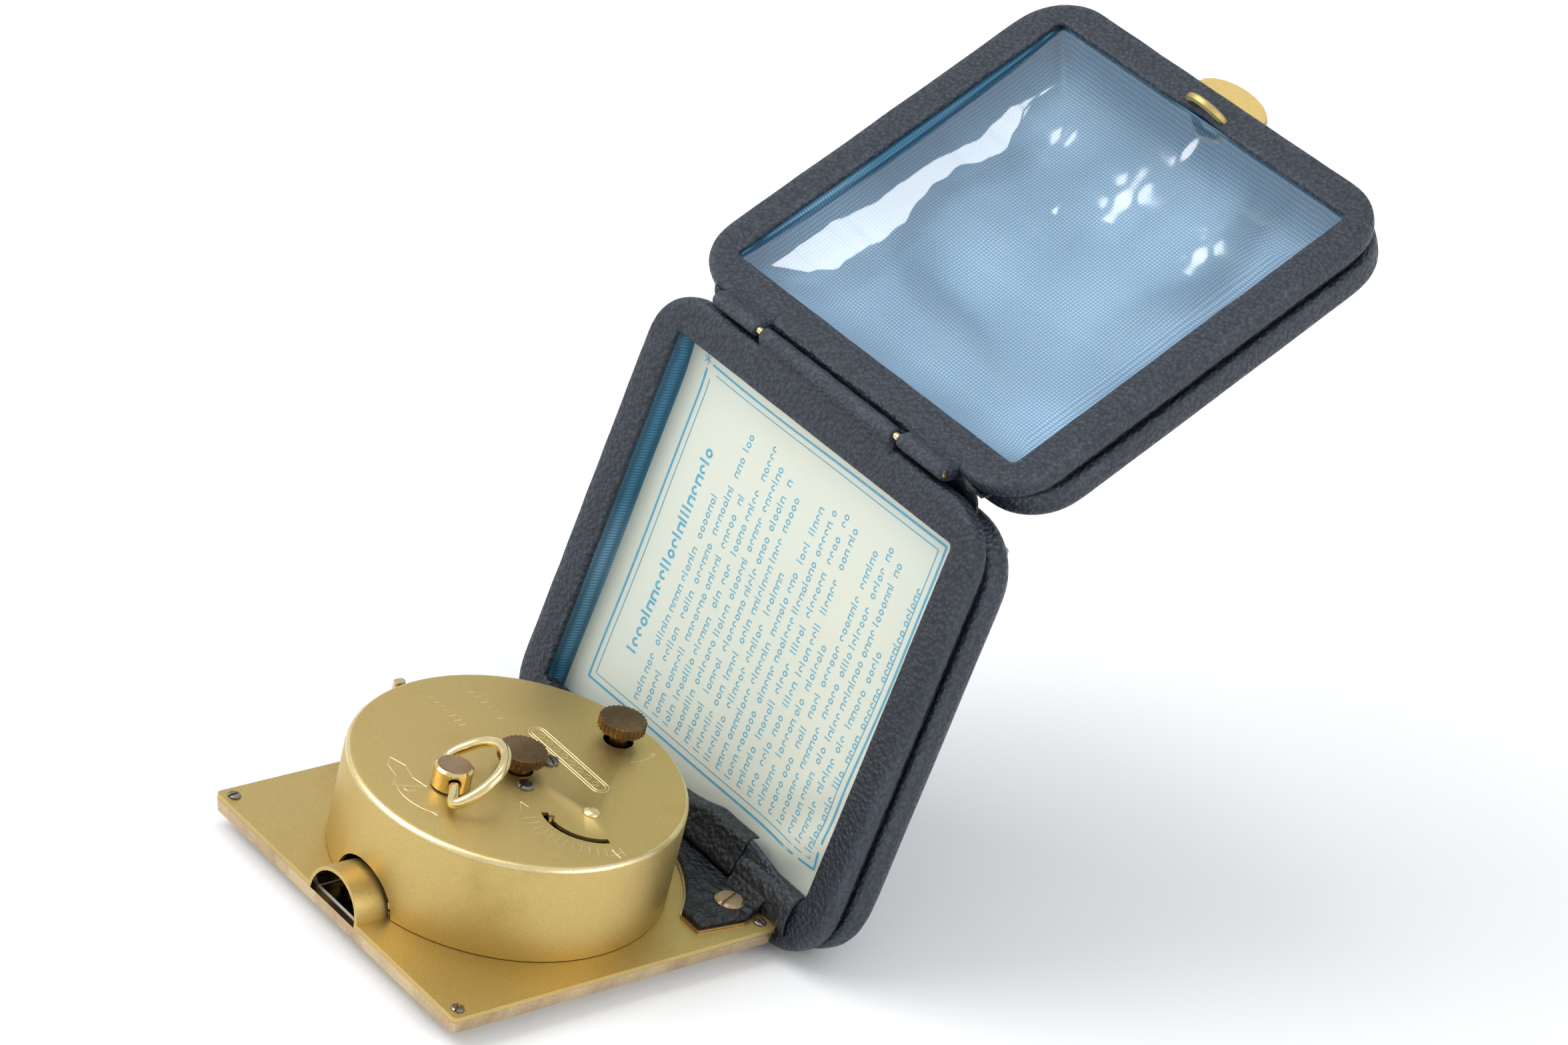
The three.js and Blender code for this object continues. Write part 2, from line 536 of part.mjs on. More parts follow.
// Going train
const thirdWheel = join(arbor(THIRD_AT, 0.6), centreMesh.pinion(1.4, 2.6), thirdMesh.wheel(3.4, 3.9));
add(clock, 'third_wheel', thirdWheel, BRASS);
const fourthWheel = join(arbor(FOURTH_AT, 0.6), thirdMesh.pinion(3.1, 4.3), fourthMesh.wheel(5.2, 5.7));
add(clock, 'fourth_wheel', fourthWheel, BRASS);
const escapeTeeth = gear(ESCAPE_AT, 15, 3.4, 10, up(6.7), up(7.2));
add(clock, 'escape_wheel', join(arbor(ESCAPE_AT, 0.5), fourthMesh.pinion(4.9, 6.1), escapeTeeth), STEEL);
function palletFork() {
  const shape = new THREE.Shape();
  shape.moveTo(-2.1, -0.45);
  shape.lineTo(-0.6, -0.5);
  shape.lineTo(0.6, -2.3);
  shape.lineTo(1.1, -2.1);
  shape.lineTo(0.7, 0);
  shape.lineTo(1.1, 2.1);
  shape.lineTo(0.6, 2.3);
  shape.lineTo(-0.6, 0.5);
  shape.lineTo(-2.1, 0.45);
  shape.closePath();
  const lever = slab(shape, up(6.7), up(7.2)).rotateZ(towards(PALLET_AT, ESCAPE_AT) * DEG);
  const staff = turned(PALLET_AT, [[0, up(FRONT_PLATE[0] + 0.1)], [PIVOT_R, up(FRONT_PLATE[0] + 0.1)],
    [PIVOT_R, up(FRONT_PLATE[1] + 0.15)], [0.5, up(FRONT_PLATE[1] + 0.15)], [0.5, up(7.4)],
    [PIVOT_R, up(7.4)], [PIVOT_R, up(8)], [0, up(8)]], 14);
  return join(staff, lever.translate(PALLET_AT[0], PALLET_AT[1], 0));
}
add(clock, 'pallet_fork', palletFork(), STEEL);

// Cock that holds the pallet fork's outer pivot under the balance
const COCK_POST_AT = [7.5, -19];
function palletCock() {
  const low = up(7.55);
  const high = up(8.15);
  const post = rod(COCK_POST_AT, 1.3, up(FRONT_PLATE[1] + 0.1), high, 16);
  const bar = block(0, between(COCK_POST_AT, PALLET_AT), -0.8, 0.8, low, high)
    .rotateZ(towards(COCK_POST_AT, PALLET_AT) * DEG).translate(COCK_POST_AT[0], COCK_POST_AT[1], 0);
  const eye = rod(PALLET_AT, 1, low, high, 16);
  return cut(join(post, bar, eye), rod(PALLET_AT, PIVOT_R + PIVOT_CLEAR, low - 1, high + 1, 12));
}
add(clock, 'pallet_cock', palletCock(), BRASS);
function balanceWheel() {
  const rim = turned(BALANCE_AT,
    [[6.2, up(9.4)], [7.4, up(9.4)], [7.4, up(10.2)], [6.2, up(10.2)], [6.2, up(9.4)]], 24);
  const arm = block(-6.6, 6.6, -0.6, 0.6, up(9.5), up(10)).translate(BALANCE_AT[0], BALANCE_AT[1], 0);
  const roller = rod(BALANCE_AT, 1.2, up(6.2), up(7.6), 16);
  return join(arbor(BALANCE_AT, 0.5), rim, arm, roller);
}
add(clock, 'balance_wheel', balanceWheel(), BRASS);
function hairspring() {
  const shape = new THREE.Shape();
  const turns = 3;
  const steps = 12 * turns;
  const at = (i, offset) => {
    const angle = i / 12 * 2 * Math.PI;
    const r = 1.2 + 0.6 * i / 12 + offset;
    return [r * Math.cos(angle), r * Math.sin(angle)];
  };
  shape.moveTo(...at(0, 0.12));
  for (let i = 1; i <= steps; i += 1) shape.lineTo(...at(i, 0.12));
  for (let i = steps; i >= 0; i -= 1) shape.lineTo(...at(i, -0.12));
  shape.closePath();
  return slab(shape, up(8.4), up(8.8)).translate(BALANCE_AT[0], BALANCE_AT[1], 0);
}
add(clock, 'hairspring', hairspring(), STEEL);

// Regulator: a lever about the balance axis whose pin stands up through the arc slot
const REGULATOR_ANGLE = 177;
function regulatorLever() {
  const ring = turned([0, 0],
    [[0.7, up(12.5)], [1.8, up(12.5)], [1.8, up(13)], [0.7, up(13)], [0.7, up(12.5)]], 20);
  const arm = block(1.4, REGULATOR_R + 0.6, -0.5, 0.5, up(12.5), up(13));
  const pin = rod([REGULATOR_R, 0], 0.42, up(12.7), DRUM_TOP + 0.9, 12);
  return join(ring, arm, pin).rotateZ(REGULATOR_ANGLE * DEG).translate(BALANCE_AT[0], BALANCE_AT[1], 0);
}
add(clock, 'regulator_lever', regulatorLever(), BRASS);

// Alarm hammer on its own arbor, and the stop lever that reaches out through the side of the cover
const HAMMER_HEAD = [-10.5, -3.5];
function alarmHammer() {
  const [x, y] = HAMMER_HEAD;
  const length = Math.hypot(x, y);
  const arm = block(0, length, -0.5, 0.5, up(5.6), up(6.2)).rotateZ(Math.atan2(y, x));
  const head = rod([x, y], 1.7, up(4), up(8), 20);
  return join(arbor(HAMMER_AT, 0.6), join(arm, head).translate(HAMMER_AT[0], HAMMER_AT[1], 0));
}
add(clock, 'alarm_hammer', alarmHammer(), STEEL);
function stopLever() {
  const [x, y] = STOP_LEVER_AT;
  const reach = DRUM_R + 1.6;
  const strip = slab(roundedRect(x - 0.9, x + 0.9, y - 1.4, reach, 0.85), up(13.7), up(14.3));
  const tip = slab(roundedRect(x - 1, x + 1, reach - 1, reach + 0.3, 0.6), up(13.7), up(15.8));
  return join(strip, tip, rod(STOP_LEVER_AT, 0.5, up(REAR_PLATE[0] + 0.2), up(14.9), 12));
}
add(clock, 'alarm_stop_lever', stopLever(), BRASS);

// Hinge leaf on the back plate: two wings round the cover, with a knuckle at each end
const LEAF = [0.1, 1];
const HINGE1_X = PLATE_SIDE / 2 + HINGE1_OUT;
const HINGE1_Z = PLATE_Z + HINGE1_RISE;
function hingeLeaf() {
  const clearance = DRUM_R + 2.8;
  const wingEnd = 27.4;
  const wingInner = 18;
  const edge = HINGE1_X - 0.9;
  const cornerAngle = Math.acos(wingInner / clearance);
  const shape = new THREE.Shape();
  shape.moveTo(edge, -wingEnd + 0.8);
  shape.lineTo(edge, wingEnd - 0.8);
  shape.lineTo(26.9, wingEnd + 0.4);
  shape.lineTo(wingInner, wingEnd - 0.8);
  shape.absarc(0, 0, clearance, cornerAngle, -cornerAngle, true);
  shape.lineTo(wingInner, -wingEnd + 0.8);
  shape.lineTo(26.9, -wingEnd - 0.4);
  shape.closePath();
  const leaf = slab(shape, up(LEAF[0]), up(LEAF[1]), 8);
  const wings = [-1, 1].map((side) => {
    const [y0, y1] = [side * (KNUCKLE1_HALF + GAP), side * KNUCKLE_END].sort((a, b) => a - b);
    const web = block(edge - 0.5, HINGE1_X, y0, y1, up(LEAF[0] + 0.2), up(LEAF[1] + 0.1));
    return join(web, rodY(HINGE1_X, HINGE1_Z, KNUCKLE1_R, y0, y1));
  });
  const holes = [-1, 1].map((side) => rod([TAB_SCREW_AT[0], side * TAB_SCREW_AT[1]], 1.1, up(0), up(2), 16));
  const bore = rodY(HINGE1_X, HINGE1_Z, 0.6, -30, 30, 16);
  return cut(join(leaf, ...wings), bore, ...holes);
}
add(clock, 'hinge_leaf', hingeLeaf(), LEATHER);
[-1, 1].forEach((side, i) => {
  const at = [TAB_SCREW_AT[0], side * TAB_SCREW_AT[1]];
  const screw = slottedHead(at, 2.45, up(LEAF[1] + 0.05), up(LEAF[1] + 0.85), 0.8, 1.75, 0.55, 20);
  add(clock, `tab_screw_${i + 1}`, screw, BRASS);
});
add(clock, 'clock_hinge_pin', rodY(HINGE1_X, HINGE1_Z, 0.5, -KNUCKLE_END, KNUCKLE_END, 14), BRASS);

// Rear cover
const rear = new THREE.Group();
rear.position.set(HINGE1_X, 0, HINGE1_Z);
rear.rotation.y = -REAR_ANGLE * DEG;
part.add(rear);

const FACE = -FACE_DROP;
const FRAME_BACK = FACE - FRAME_THICK;
const RIM_TOP = FRAME_BACK - GROOVE;
const RIM_BACK = RIM_TOP - SHELL_RIM;

function rearWindow() {
  const shape = new THREE.Shape();
  const [w, r, top] = [WINDOW_HALF_WIDTH, WINDOW_CORNER_R, REAR_WINDOW_TOP];
  shape.moveTo(REAR_BAR_TOP, -REAR_BAR_HALF);
  shape.lineTo(REAR_BAR_TOP, REAR_BAR_HALF);
  shape.lineTo(REAR_BAR_END, w - 0.5);
  shape.lineTo(REAR_BAR_END + 0.5, w);
  shape.absarc(top - r, w - r, r, Math.PI / 2, 0, true);
  shape.absarc(top - r, -w + r, r, 0, -Math.PI / 2, true);
  shape.lineTo(REAR_BAR_END + 0.5, -w);
  shape.lineTo(REAR_BAR_END, -w + 0.5);
  shape.closePath();
  return shape;
}
function rearFrame() {
  const top = HINGE2_AT - FRAME_SETBACK;
  const outline = roundedRect(REAR_BOTTOM, top, -PANEL_HALF_WIDTH, PANEL_HALF_WIDTH, PANEL_CORNER_R);
  outline.holes.push(new THREE.Path(rearWindow().getPoints(4)));
  const plate = slab(outline, FRAME_BACK, FACE, 5);
  const knuckle1 = join(block(-0.6, 1, -KNUCKLE1_HALF, KNUCKLE1_HALF, FACE - 0.5, 0),
    rodY(0, 0, KNUCKLE1_R, -KNUCKLE1_HALF, KNUCKLE1_HALF));
  const arm = block(top - 1, HINGE2_AT, -KNUCKLE2_HALF, KNUCKLE2_HALF, -KNUCKLE2_R, FACE);
  const knuckle2 = join(arm, rodY(HINGE2_AT, 0, KNUCKLE2_R, -KNUCKLE2_HALF, KNUCKLE2_HALF));
  const drumCentre = HINGE1_OUT + PLATE_SIDE / 2;
  const clearDrum = rod([drumCentre, 0], DRUM_R + 0.8, FRAME_BACK - 1, FACE + 1, 60);
  const clearLeaf = [-1, 1].map((side) => {
    const [y0, y1] = [side * KNUCKLE1_HALF, side * (KNUCKLE_END + GAP)].sort((a, b) => a - b);
    return rodY(0, 0, KNUCKLE1_R + GAP, y0, y1);
  });
  const bores = [rodY(0, 0, 0.6, -30, 30, 16), rodY(HINGE2_AT, 0, 0.8, -30, 30, 16)];
  const catchSlot = block(-3.6, -1.4, -6, 6, FRAME_BACK - 1, FACE + 1);
  return cut(join(plate, knuckle1, knuckle2), clearDrum, ...clearLeaf, ...bores, catchSlot);
}
add(rear, 'rear_frame', rearFrame(), LEATHER);

// Outer shell: a rim all round, then a cushion-shaped back at 45 degrees to a flat middle
function outerShell(x0, x1, depth) {
  const at = (inset, z, r) =>
    ({ x: [x0 + inset, x1 - inset], y: PANEL_HALF_WIDTH - inset, r: Math.max(r, 1.5), z });
  const fall = depth + RIM_BACK;
  const outer = [at(0.5, RIM_TOP, PANEL_CORNER_R), at(0, RIM_TOP - 0.6, PANEL_CORNER_R),
    at(0, RIM_BACK, PANEL_CORNER_R), at(fall * 0.8, -depth + fall * 0.17, PANEL_CORNER_R * 0.9),
    at(fall * 1.1, -depth, PANEL_CORNER_R * 0.8)];
  const inner = [at(SHELL_WALL + 0.4, RIM_TOP, PANEL_CORNER_R - SHELL_WALL),
    at(SHELL_WALL, RIM_BACK - 0.2, PANEL_CORNER_R - SHELL_WALL),
    at(SHELL_WALL + fall * 0.76, -depth + SHELL_WALL + fall * 0.14, PANEL_CORNER_R * 0.8),
    at(SHELL_WALL + fall * 1.15, -depth + SHELL_WALL, PANEL_CORNER_R * 0.7)];
  return loft([...outer.slice().reverse(), ...inner]);
}
add(rear, 'rear_shell', outerShell(REAR_BOTTOM, HINGE2_AT - SHELL_SETBACK, REAR_DEPTH), LEATHER);

// Lining: a thin tray inside the frame and shell, with straight walls and then sloping ones
const LINING_THICK = 0.45;
function lining(rim, floor) {
  const halfWidth = WINDOW_HALF_WIDTH + 0.5;
  const at = (box, grow, z, r) => ({ x: [box.x[0] - grow, box.x[1] + grow], y: box.y + grow, r, z });
  const top = { ...rim, y: halfWidth };
  const rimZ = FRAME_BACK - GAP;
  const outer = [at(top, LINING_THICK, rimZ, 3.4), at(top, LINING_THICK, -rim.depth, 3.4),
    at(floor, LINING_THICK, -floor.depth - LINING_THICK, 3.4)];
  const inner = [at(top, 0, rimZ, 3), at(top, 0, -rim.depth, 3), at(floor, 0, -floor.depth, 3)];
  return loft([...outer.slice().reverse(), ...inner]);
}
const rearLining = lining({ x: [0.2, 66.6], depth: 10.8 }, { x: [8.4, 56.2], y: 25, depth: 18.8 });
add(rear, 'rear_lining', rearLining, SATIN);

// Directions card, slipped in behind the frame
const CARD = { x: [2.5, 66.2], halfWidth: 32.4, z: -5.6, thick: 0.3 };
add(rear, 'direction_card',
  slab(roundedRect(...CARD.x, -CARD.halfWidth, CARD.halfWidth, 1), CARD.z - CARD.thick, CARD.z), PAPER);
add(rear, 'case_hinge_pin', rodY(HINGE2_AT, 0, 0.6, -KNUCKLE_END, KNUCKLE_END, 14), BRASS);

// Spine: the strip of leather behind hinge 2 that joins the two shells
function spine() {
  const bisector = 90 + LID_ANGLE / 2;
  return block(5, 8.6, -31, 31, -0.6, 0.6).rotateY(bisector * DEG).translate(HINGE2_AT, 0, 0);
}
add(rear, 'leather_spine', spine(), LEATHER);

// Lid
const lid = new THREE.Group();
lid.position.x = HINGE2_AT;
lid.rotation.y = LID_ANGLE * DEG;
rear.add(lid);

const CLASP_AT = [78.2, FACE - 2];
function lidFrame() {
  const outline = roundedRect(FRAME_SETBACK, LID_FAR, -PANEL_HALF_WIDTH, PANEL_HALF_WIDTH, PANEL_CORNER_R);
  const window = roundedRect(...LID_WINDOW, -WINDOW_HALF_WIDTH, WINDOW_HALF_WIDTH, WINDOW_CORNER_R);
  outline.holes.push(new THREE.Path(window.getPoints(4)));
  const plate = slab(outline, FRAME_BACK, FACE, 5);
  const knuckles = [-1, 1].map((side) => {
    const [y0, y1] = [side * (KNUCKLE2_HALF + GAP), side * KNUCKLE_END].sort((a, b) => a - b);
    const arm = block(0, FRAME_SETBACK + 1, y0, y1, -KNUCKLE2_R, FACE);
    return join(arm, rodY(0, 0, KNUCKLE2_R, y0, y1));
  });
  const bore = rodY(0, 0, 0.7, -30, 30, 16);
  const claspSlot = block(CLASP_AT[0] - 2.2, LID_FAR + 1, -5.6, 5.6, FRAME_BACK - 1, FACE - 1.2);
  const bowSlot = block(LID_WINDOW[1] - 1, CLASP_AT[0] + 1.6, -5.6, 5.6, FACE - 2, FACE + 1);
  return cut(join(plate, ...knuckles), bore, claspSlot, bowSlot);
}
add(lid, 'lid_frame', lidFrame(), LEATHER);
add(lid, 'lid_shell', outerShell(SHELL_SETBACK, LID_FAR, LID_DEPTH), LEATHER);
const lidLining = lining({ x: [8.2, 75.6], depth: 5.6 }, { x: [14.6, 69.2], y: 27.1, depth: 9.6 });
add(lid, 'lid_lining', lidLining, SATIN);

// Clear film over the lining, slightly sagged
function film() {
  const shape = roundedRect(9.2, 74.6, -WINDOW_HALF_WIDTH + 0.8, WINDOW_HALF_WIDTH - 0.8, 2.5);
  return slab(shape, FRAME_BACK - 0.9, FRAME_BACK - 0.7, 4);
}
add(lid, 'lid_film', film(), CLEAR);

// Clasp: a thumb-piece outside the lid's free edge and a half-round bow inside it, on one rocker
function clasp() {
  const thumbShape = new THREE.Shape();
  thumbShape.absellipse(0, 0, 7.5, 3.4, 0, 2 * Math.PI, false);
  const thumb = slab(thumbShape, -0.5, 0.5, 10).rotateZ(Math.PI / 2).translate(LID_FAR + 0.6, 0, FACE - 2.3);
  const rocker = block(CLASP_AT[0] - 0.8, LID_FAR + 0.5, -4.8, 4.8, FACE - 2.8, FACE - 1.8);
  const clear = block(LID_FAR - 4.4, LID_FAR + 0.25, -9, 9, FACE - 4, FACE);
  const wing = join(cut(thumb, clear), rocker);
  const points = [];
  for (let i = 0; i <= 8; i += 1) {
    const angle = i / 8 * Math.PI;
    points.push(new THREE.Vector3(0, 4.2 * Math.cos(angle), 5.6 * Math.sin(angle)));
  }
  const bow = tube(new THREE.CatmullRomCurve3(points), 0.7, 14, 6)
    .rotateY(-20 * DEG).translate(CLASP_AT[0] - 0.4, 0, FACE - 2.2);
  return join(wing, bow);
}
add(lid, 'clasp', clasp(), BRASS);
add(lid, 'clasp_pin', rodY(CLASP_AT[0] + 0.9, FACE - 3.4, 0.4, -5.4, 5.4, 12), STEEL);

export default part;
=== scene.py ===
# Folding travel alarm clock: a square brass clock lying on its dial, hinged into a leather case
# whose lid is folded back. Metres, +Z up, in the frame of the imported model.
import json
import math
import random

import bmesh
import bpy
from mathutils import Matrix, Quaternion, Vector, noise


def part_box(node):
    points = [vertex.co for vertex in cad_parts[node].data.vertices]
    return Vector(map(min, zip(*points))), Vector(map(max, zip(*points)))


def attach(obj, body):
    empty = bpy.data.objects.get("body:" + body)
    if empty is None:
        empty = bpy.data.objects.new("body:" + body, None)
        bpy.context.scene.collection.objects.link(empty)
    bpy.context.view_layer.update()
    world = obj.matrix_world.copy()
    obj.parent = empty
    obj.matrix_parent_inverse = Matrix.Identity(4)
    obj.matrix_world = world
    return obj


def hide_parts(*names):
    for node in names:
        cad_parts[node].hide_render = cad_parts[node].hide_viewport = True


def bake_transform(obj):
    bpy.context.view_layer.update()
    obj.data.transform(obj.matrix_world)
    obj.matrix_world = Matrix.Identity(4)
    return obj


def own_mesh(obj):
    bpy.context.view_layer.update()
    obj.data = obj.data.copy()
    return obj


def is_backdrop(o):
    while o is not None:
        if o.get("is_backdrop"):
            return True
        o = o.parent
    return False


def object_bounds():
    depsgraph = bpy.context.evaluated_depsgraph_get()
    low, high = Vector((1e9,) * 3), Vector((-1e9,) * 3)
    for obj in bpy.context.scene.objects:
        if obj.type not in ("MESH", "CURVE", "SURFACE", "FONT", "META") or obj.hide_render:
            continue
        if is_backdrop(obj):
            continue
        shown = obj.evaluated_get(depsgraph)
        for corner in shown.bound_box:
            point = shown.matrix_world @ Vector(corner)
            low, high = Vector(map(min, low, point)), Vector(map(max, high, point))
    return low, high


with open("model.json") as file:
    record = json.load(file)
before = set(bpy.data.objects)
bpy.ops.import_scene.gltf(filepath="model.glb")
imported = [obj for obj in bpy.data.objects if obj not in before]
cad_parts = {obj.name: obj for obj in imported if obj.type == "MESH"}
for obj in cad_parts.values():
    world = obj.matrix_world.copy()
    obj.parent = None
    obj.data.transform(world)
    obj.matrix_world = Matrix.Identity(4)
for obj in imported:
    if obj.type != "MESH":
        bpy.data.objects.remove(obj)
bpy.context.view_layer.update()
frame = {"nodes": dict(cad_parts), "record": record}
nodes = frame["nodes"]
MM = 0.001

# Camera, floor and light. The floor is a plain white table. A large soft light stands to the
# upper left, a second panel is mirrored by the film, and a weak one at the right and a white
# surround fill the shadows.
CAMERA_AT = Vector((-0.46791, -0.48287, 0.44297))
CAMERA_AIM = Vector((0.04168, -0.00101, 0.0581))
CAMERA_ROLL = math.radians(14.46)
camera_data = bpy.data.cameras.new("camera")
camera_data.lens = 120.9
camera_data.sensor_width = 36
camera_data.clip_start = 0.01
camera = bpy.data.objects.new("camera", camera_data)
camera.rotation_mode = "QUATERNION"
camera.location = CAMERA_AT
towards_aim = (CAMERA_AIM - CAMERA_AT).to_track_quat("-Z", "Y")
camera.rotation_quaternion = towards_aim @ Quaternion((0, 0, 1), CAMERA_ROLL)
bpy.context.collection.objects.link(camera)
bpy.context.scene.camera = camera
bpy.context.scene.view_settings.view_transform = "Standard"


def soft_light(name, at, aim, width, height, power, color=(1, 1, 1)):
    data = bpy.data.lights.new(name, "AREA")
    data.shape = "RECTANGLE"
    data.size = width
    data.size_y = height
    data.energy = power
    data.color = color
    light = bpy.data.objects.new(name, data)
    light.location = at
    light.rotation_euler = (Vector(aim) - Vector(at)).to_track_quat("-Z", "Y").to_euler()
    bpy.context.collection.objects.link(light)


OBJECT_MIDDLE = (0.03, 0, 0.05)
soft_light("key_light", (-0.62, 0.5, 0.85), OBJECT_MIDDLE, 0.8, 0.8, 7.2)
soft_light("film_light", (-0.016, 0.224, 0.967), (0.08, 0, 0.1), 0.3, 0.26, 1)
soft_light("fill_light", (0.3, -0.8, 0.5), OBJECT_MIDDLE, 0.6, 0.4, 2.2)

world = bpy.data.worlds.new("studio")
world.use_nodes = True
background = world.node_tree.nodes["Background"]
background.inputs["Color"].default_value = (0.93, 0.96, 1, 1)
background.inputs["Strength"].default_value = 0.86
bpy.context.scene.world = world


def new_object(name, vertices, faces, smooth=True):
    mesh = bpy.data.meshes.new(name)
    mesh.from_pydata([tuple(v) for v in vertices], [], faces)
    solid = bmesh.new()
    solid.from_mesh(mesh)
    bmesh.ops.remove_doubles(solid, verts=solid.verts, dist=1e-7)
    bmesh.ops.recalc_face_normals(solid, faces=solid.faces)
    solid.to_mesh(mesh)
    solid.free()
    mesh.polygons.foreach_set("use_smooth", [smooth] * len(mesh.polygons))
    piece = bpy.data.objects.new(name, mesh)
    bpy.context.collection.objects.link(piece)
    return piece


FLOOR_HALF = 2.5
floor_corners = [(-FLOOR_HALF, -FLOOR_HALF, 0), (FLOOR_HALF, -FLOOR_HALF, 0), (FLOOR_HALF, FLOOR_HALF, 0),
                 (-FLOOR_HALF, FLOOR_HALF, 0)]
floor = new_object("floor", floor_corners, [(0, 1, 2, 3)])
floor_material = bpy.data.materials.new("floor_paint")
floor_material.use_nodes = True
floor_shader = floor_material.node_tree.nodes["Principled BSDF"]
floor_shader.inputs["Base Color"].default_value = (0.9, 0.9, 0.9, 1)
floor_shader.inputs["Roughness"].default_value = 0.65
floor.data.materials.append(floor_material)
floor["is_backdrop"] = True


# Metal of the clock. Sheet brass under a matte gold lacquer with a fine speckle; bare brass,
# bronzed brass and steel with stains in the hollows. One make-up: a base, a stain, a fine grain.
def metal(name, base, stain, roughness, grain, stain_share, grain_depth, streak=1.0, rough_spread=0.12):
    material = bpy.data.materials.new(name)
    material.use_nodes = True
    tree = material.node_tree
    tree.nodes.clear()
    place = tree.nodes.new("ShaderNodeTexCoord")
    place.label = "place on the object"
    place.location = (-1500, 0)
    stretch = tree.nodes.new("ShaderNodeMapping")
    stretch.label = "draws the stains out along the height"
    stretch.location = (-1300, 200)
    stretch.inputs["Scale"].default_value = (1, 1, streak)
    stains = tree.nodes.new("ShaderNodeTexNoise")
    stains.label = "stains and handling marks"
    stains.location = (-1100, 200)
    stains.inputs["Scale"].default_value = 95
    stains.inputs["Detail"].default_value = 6
    stains.inputs["Roughness"].default_value = 0.62
    threshold = tree.nodes.new("ShaderNodeValToRGB")
    threshold.label = "how far the stains reach"
    threshold.location = (-880, 200)
    threshold.color_ramp.elements[0].position = 0.62 - stain_share * 0.5
    threshold.color_ramp.elements[1].position = 0.86 - stain_share * 0.45
    speckle = tree.nodes.new("ShaderNodeTexNoise")
    speckle.label = "fine speckle of the surface"
    speckle.location = (-1100, -120)
    speckle.inputs["Scale"].default_value = grain
    speckle.inputs["Detail"].default_value = 3
    tint = tree.nodes.new("ShaderNodeMix")
    tint.label = "stain over the base colour"
    tint.location = (-560, 220)
    tint.data_type = "RGBA"
    tint.inputs["A"].default_value = (*base, 1)
    tint.inputs["B"].default_value = (*stain, 1)
    flecks = tree.nodes.new("ShaderNodeMapRange")
    flecks.label = "flecks lighten and darken"
    flecks.location = (-800, -60)
    flecks.inputs["From Min"].default_value = 0.35
    flecks.inputs["From Max"].default_value = 0.65
    flecks.inputs["To Min"].default_value = 0.9
    flecks.inputs["To Max"].default_value = 1.08
    shade = tree.nodes.new("ShaderNodeVectorMath")
    shade.label = "colour with its flecks"
    shade.location = (-320, 160)
    shade.operation = "SCALE"
    dullness = tree.nodes.new("ShaderNodeMapRange")
    dullness.label = "stained metal is duller"
    dullness.location = (-560, -100)
    dullness.inputs["To Min"].default_value = roughness
    dullness.inputs["To Max"].default_value = roughness + rough_spread
    relief = tree.nodes.new("ShaderNodeBump")
    relief.label = "depth of the fine grain"
    relief.location = (-320, -280)
    relief.inputs["Strength"].default_value = grain_depth
    relief.inputs["Distance"].default_value = 0.05 * MM
    shader = tree.nodes.new("ShaderNodeBsdfPrincipled")
    shader.label = name
    shader.location = (-40, 100)
    shader.inputs["Metallic"].default_value = 1
    output = tree.nodes.new("ShaderNodeOutputMaterial")
    output.location = (260, 100)
    colour_group = tree.nodes.new("NodeFrame")
    colour_group.label = "colour"
    for node in (stretch, stains, threshold, tint, shade, flecks):
        node.parent = colour_group
    surface_group = tree.nodes.new("NodeFrame")
    surface_group.label = "surface"
    for node in (speckle, dullness, relief):
        node.parent = surface_group
    links = tree.links
    links.new(place.outputs["Object"], stretch.inputs["Vector"])
    links.new(stretch.outputs["Vector"], stains.inputs["Vector"])
    links.new(place.outputs["Object"], speckle.inputs["Vector"])
    links.new(stains.outputs["Fac"], threshold.inputs["Fac"])
    links.new(threshold.outputs["Color"], tint.inputs["Factor"])
    links.new(speckle.outputs["Fac"], flecks.inputs["Value"])
    links.new(tint.outputs["Result"], shade.inputs[0])
    links.new(flecks.outputs["Result"], shade.inputs["Scale"])
    links.new(threshold.outputs["Color"], dullness.inputs["Value"])
    links.new(speckle.outputs["Fac"], relief.inputs["Height"])
    links.new(shade.outputs["Vector"], shader.inputs["Base Color"])
    links.new(dullness.outputs["Result"], shader.inputs["Roughness"])
    links.new(relief.outputs["Normal"], shader.inputs["Normal"])
    links.new(shader.outputs["BSDF"], output.inputs["Surface"])
    return material


gold_lacquer = metal("gold_lacquer", (0.585, 0.435, 0.165), (0.52, 0.38, 0.14), 0.46, 5200, 0.12, 0.6)
# Lighter lacquer of the shoulder and the dome: rubbed lacquer and a painted highlight.
rubbed_highlit_gold = metal("rubbed_gold_painted_highlight", (0.85, 0.7, 0.38), (0.7, 0.52, 0.24), 0.3, 4200, 0.3, 0.3)
worn_brass = metal("worn_brass", (0.66, 0.51, 0.31), (0.4, 0.27, 0.17), 0.22, 2600, 0.4, 0.2, 0.25, 0.25)
bright_brass = metal("bright_brass", (0.78, 0.6, 0.27), (0.4, 0.26, 0.1), 0.13, 3000, 0.2, 0.08)
bronzed_brass = metal("bronzed_brass", (0.24, 0.16, 0.075), (0.12, 0.07, 0.03), 0.3, 3000, 0.5, 0.2)
tarnished_brass = metal("tarnished_brass", (0.4, 0.27, 0.15), (0.22, 0.13, 0.08), 0.36, 3600, 0.5, 0.3)
dark_steel = metal("dark_steel", (0.33, 0.32, 0.31), (0.14, 0.1, 0.07), 0.26, 3000, 0.4, 0.15)
polished_brass = metal("polished_brass", (0.8, 0.66, 0.34), (0.55, 0.4, 0.17), 0.17, 500, 0.1, 0)
engraved_gold = metal("engraved_gold", (0.82, 0.7, 0.44), (0.7, 0.55, 0.3), 0.33, 3000, 0.1, 0)
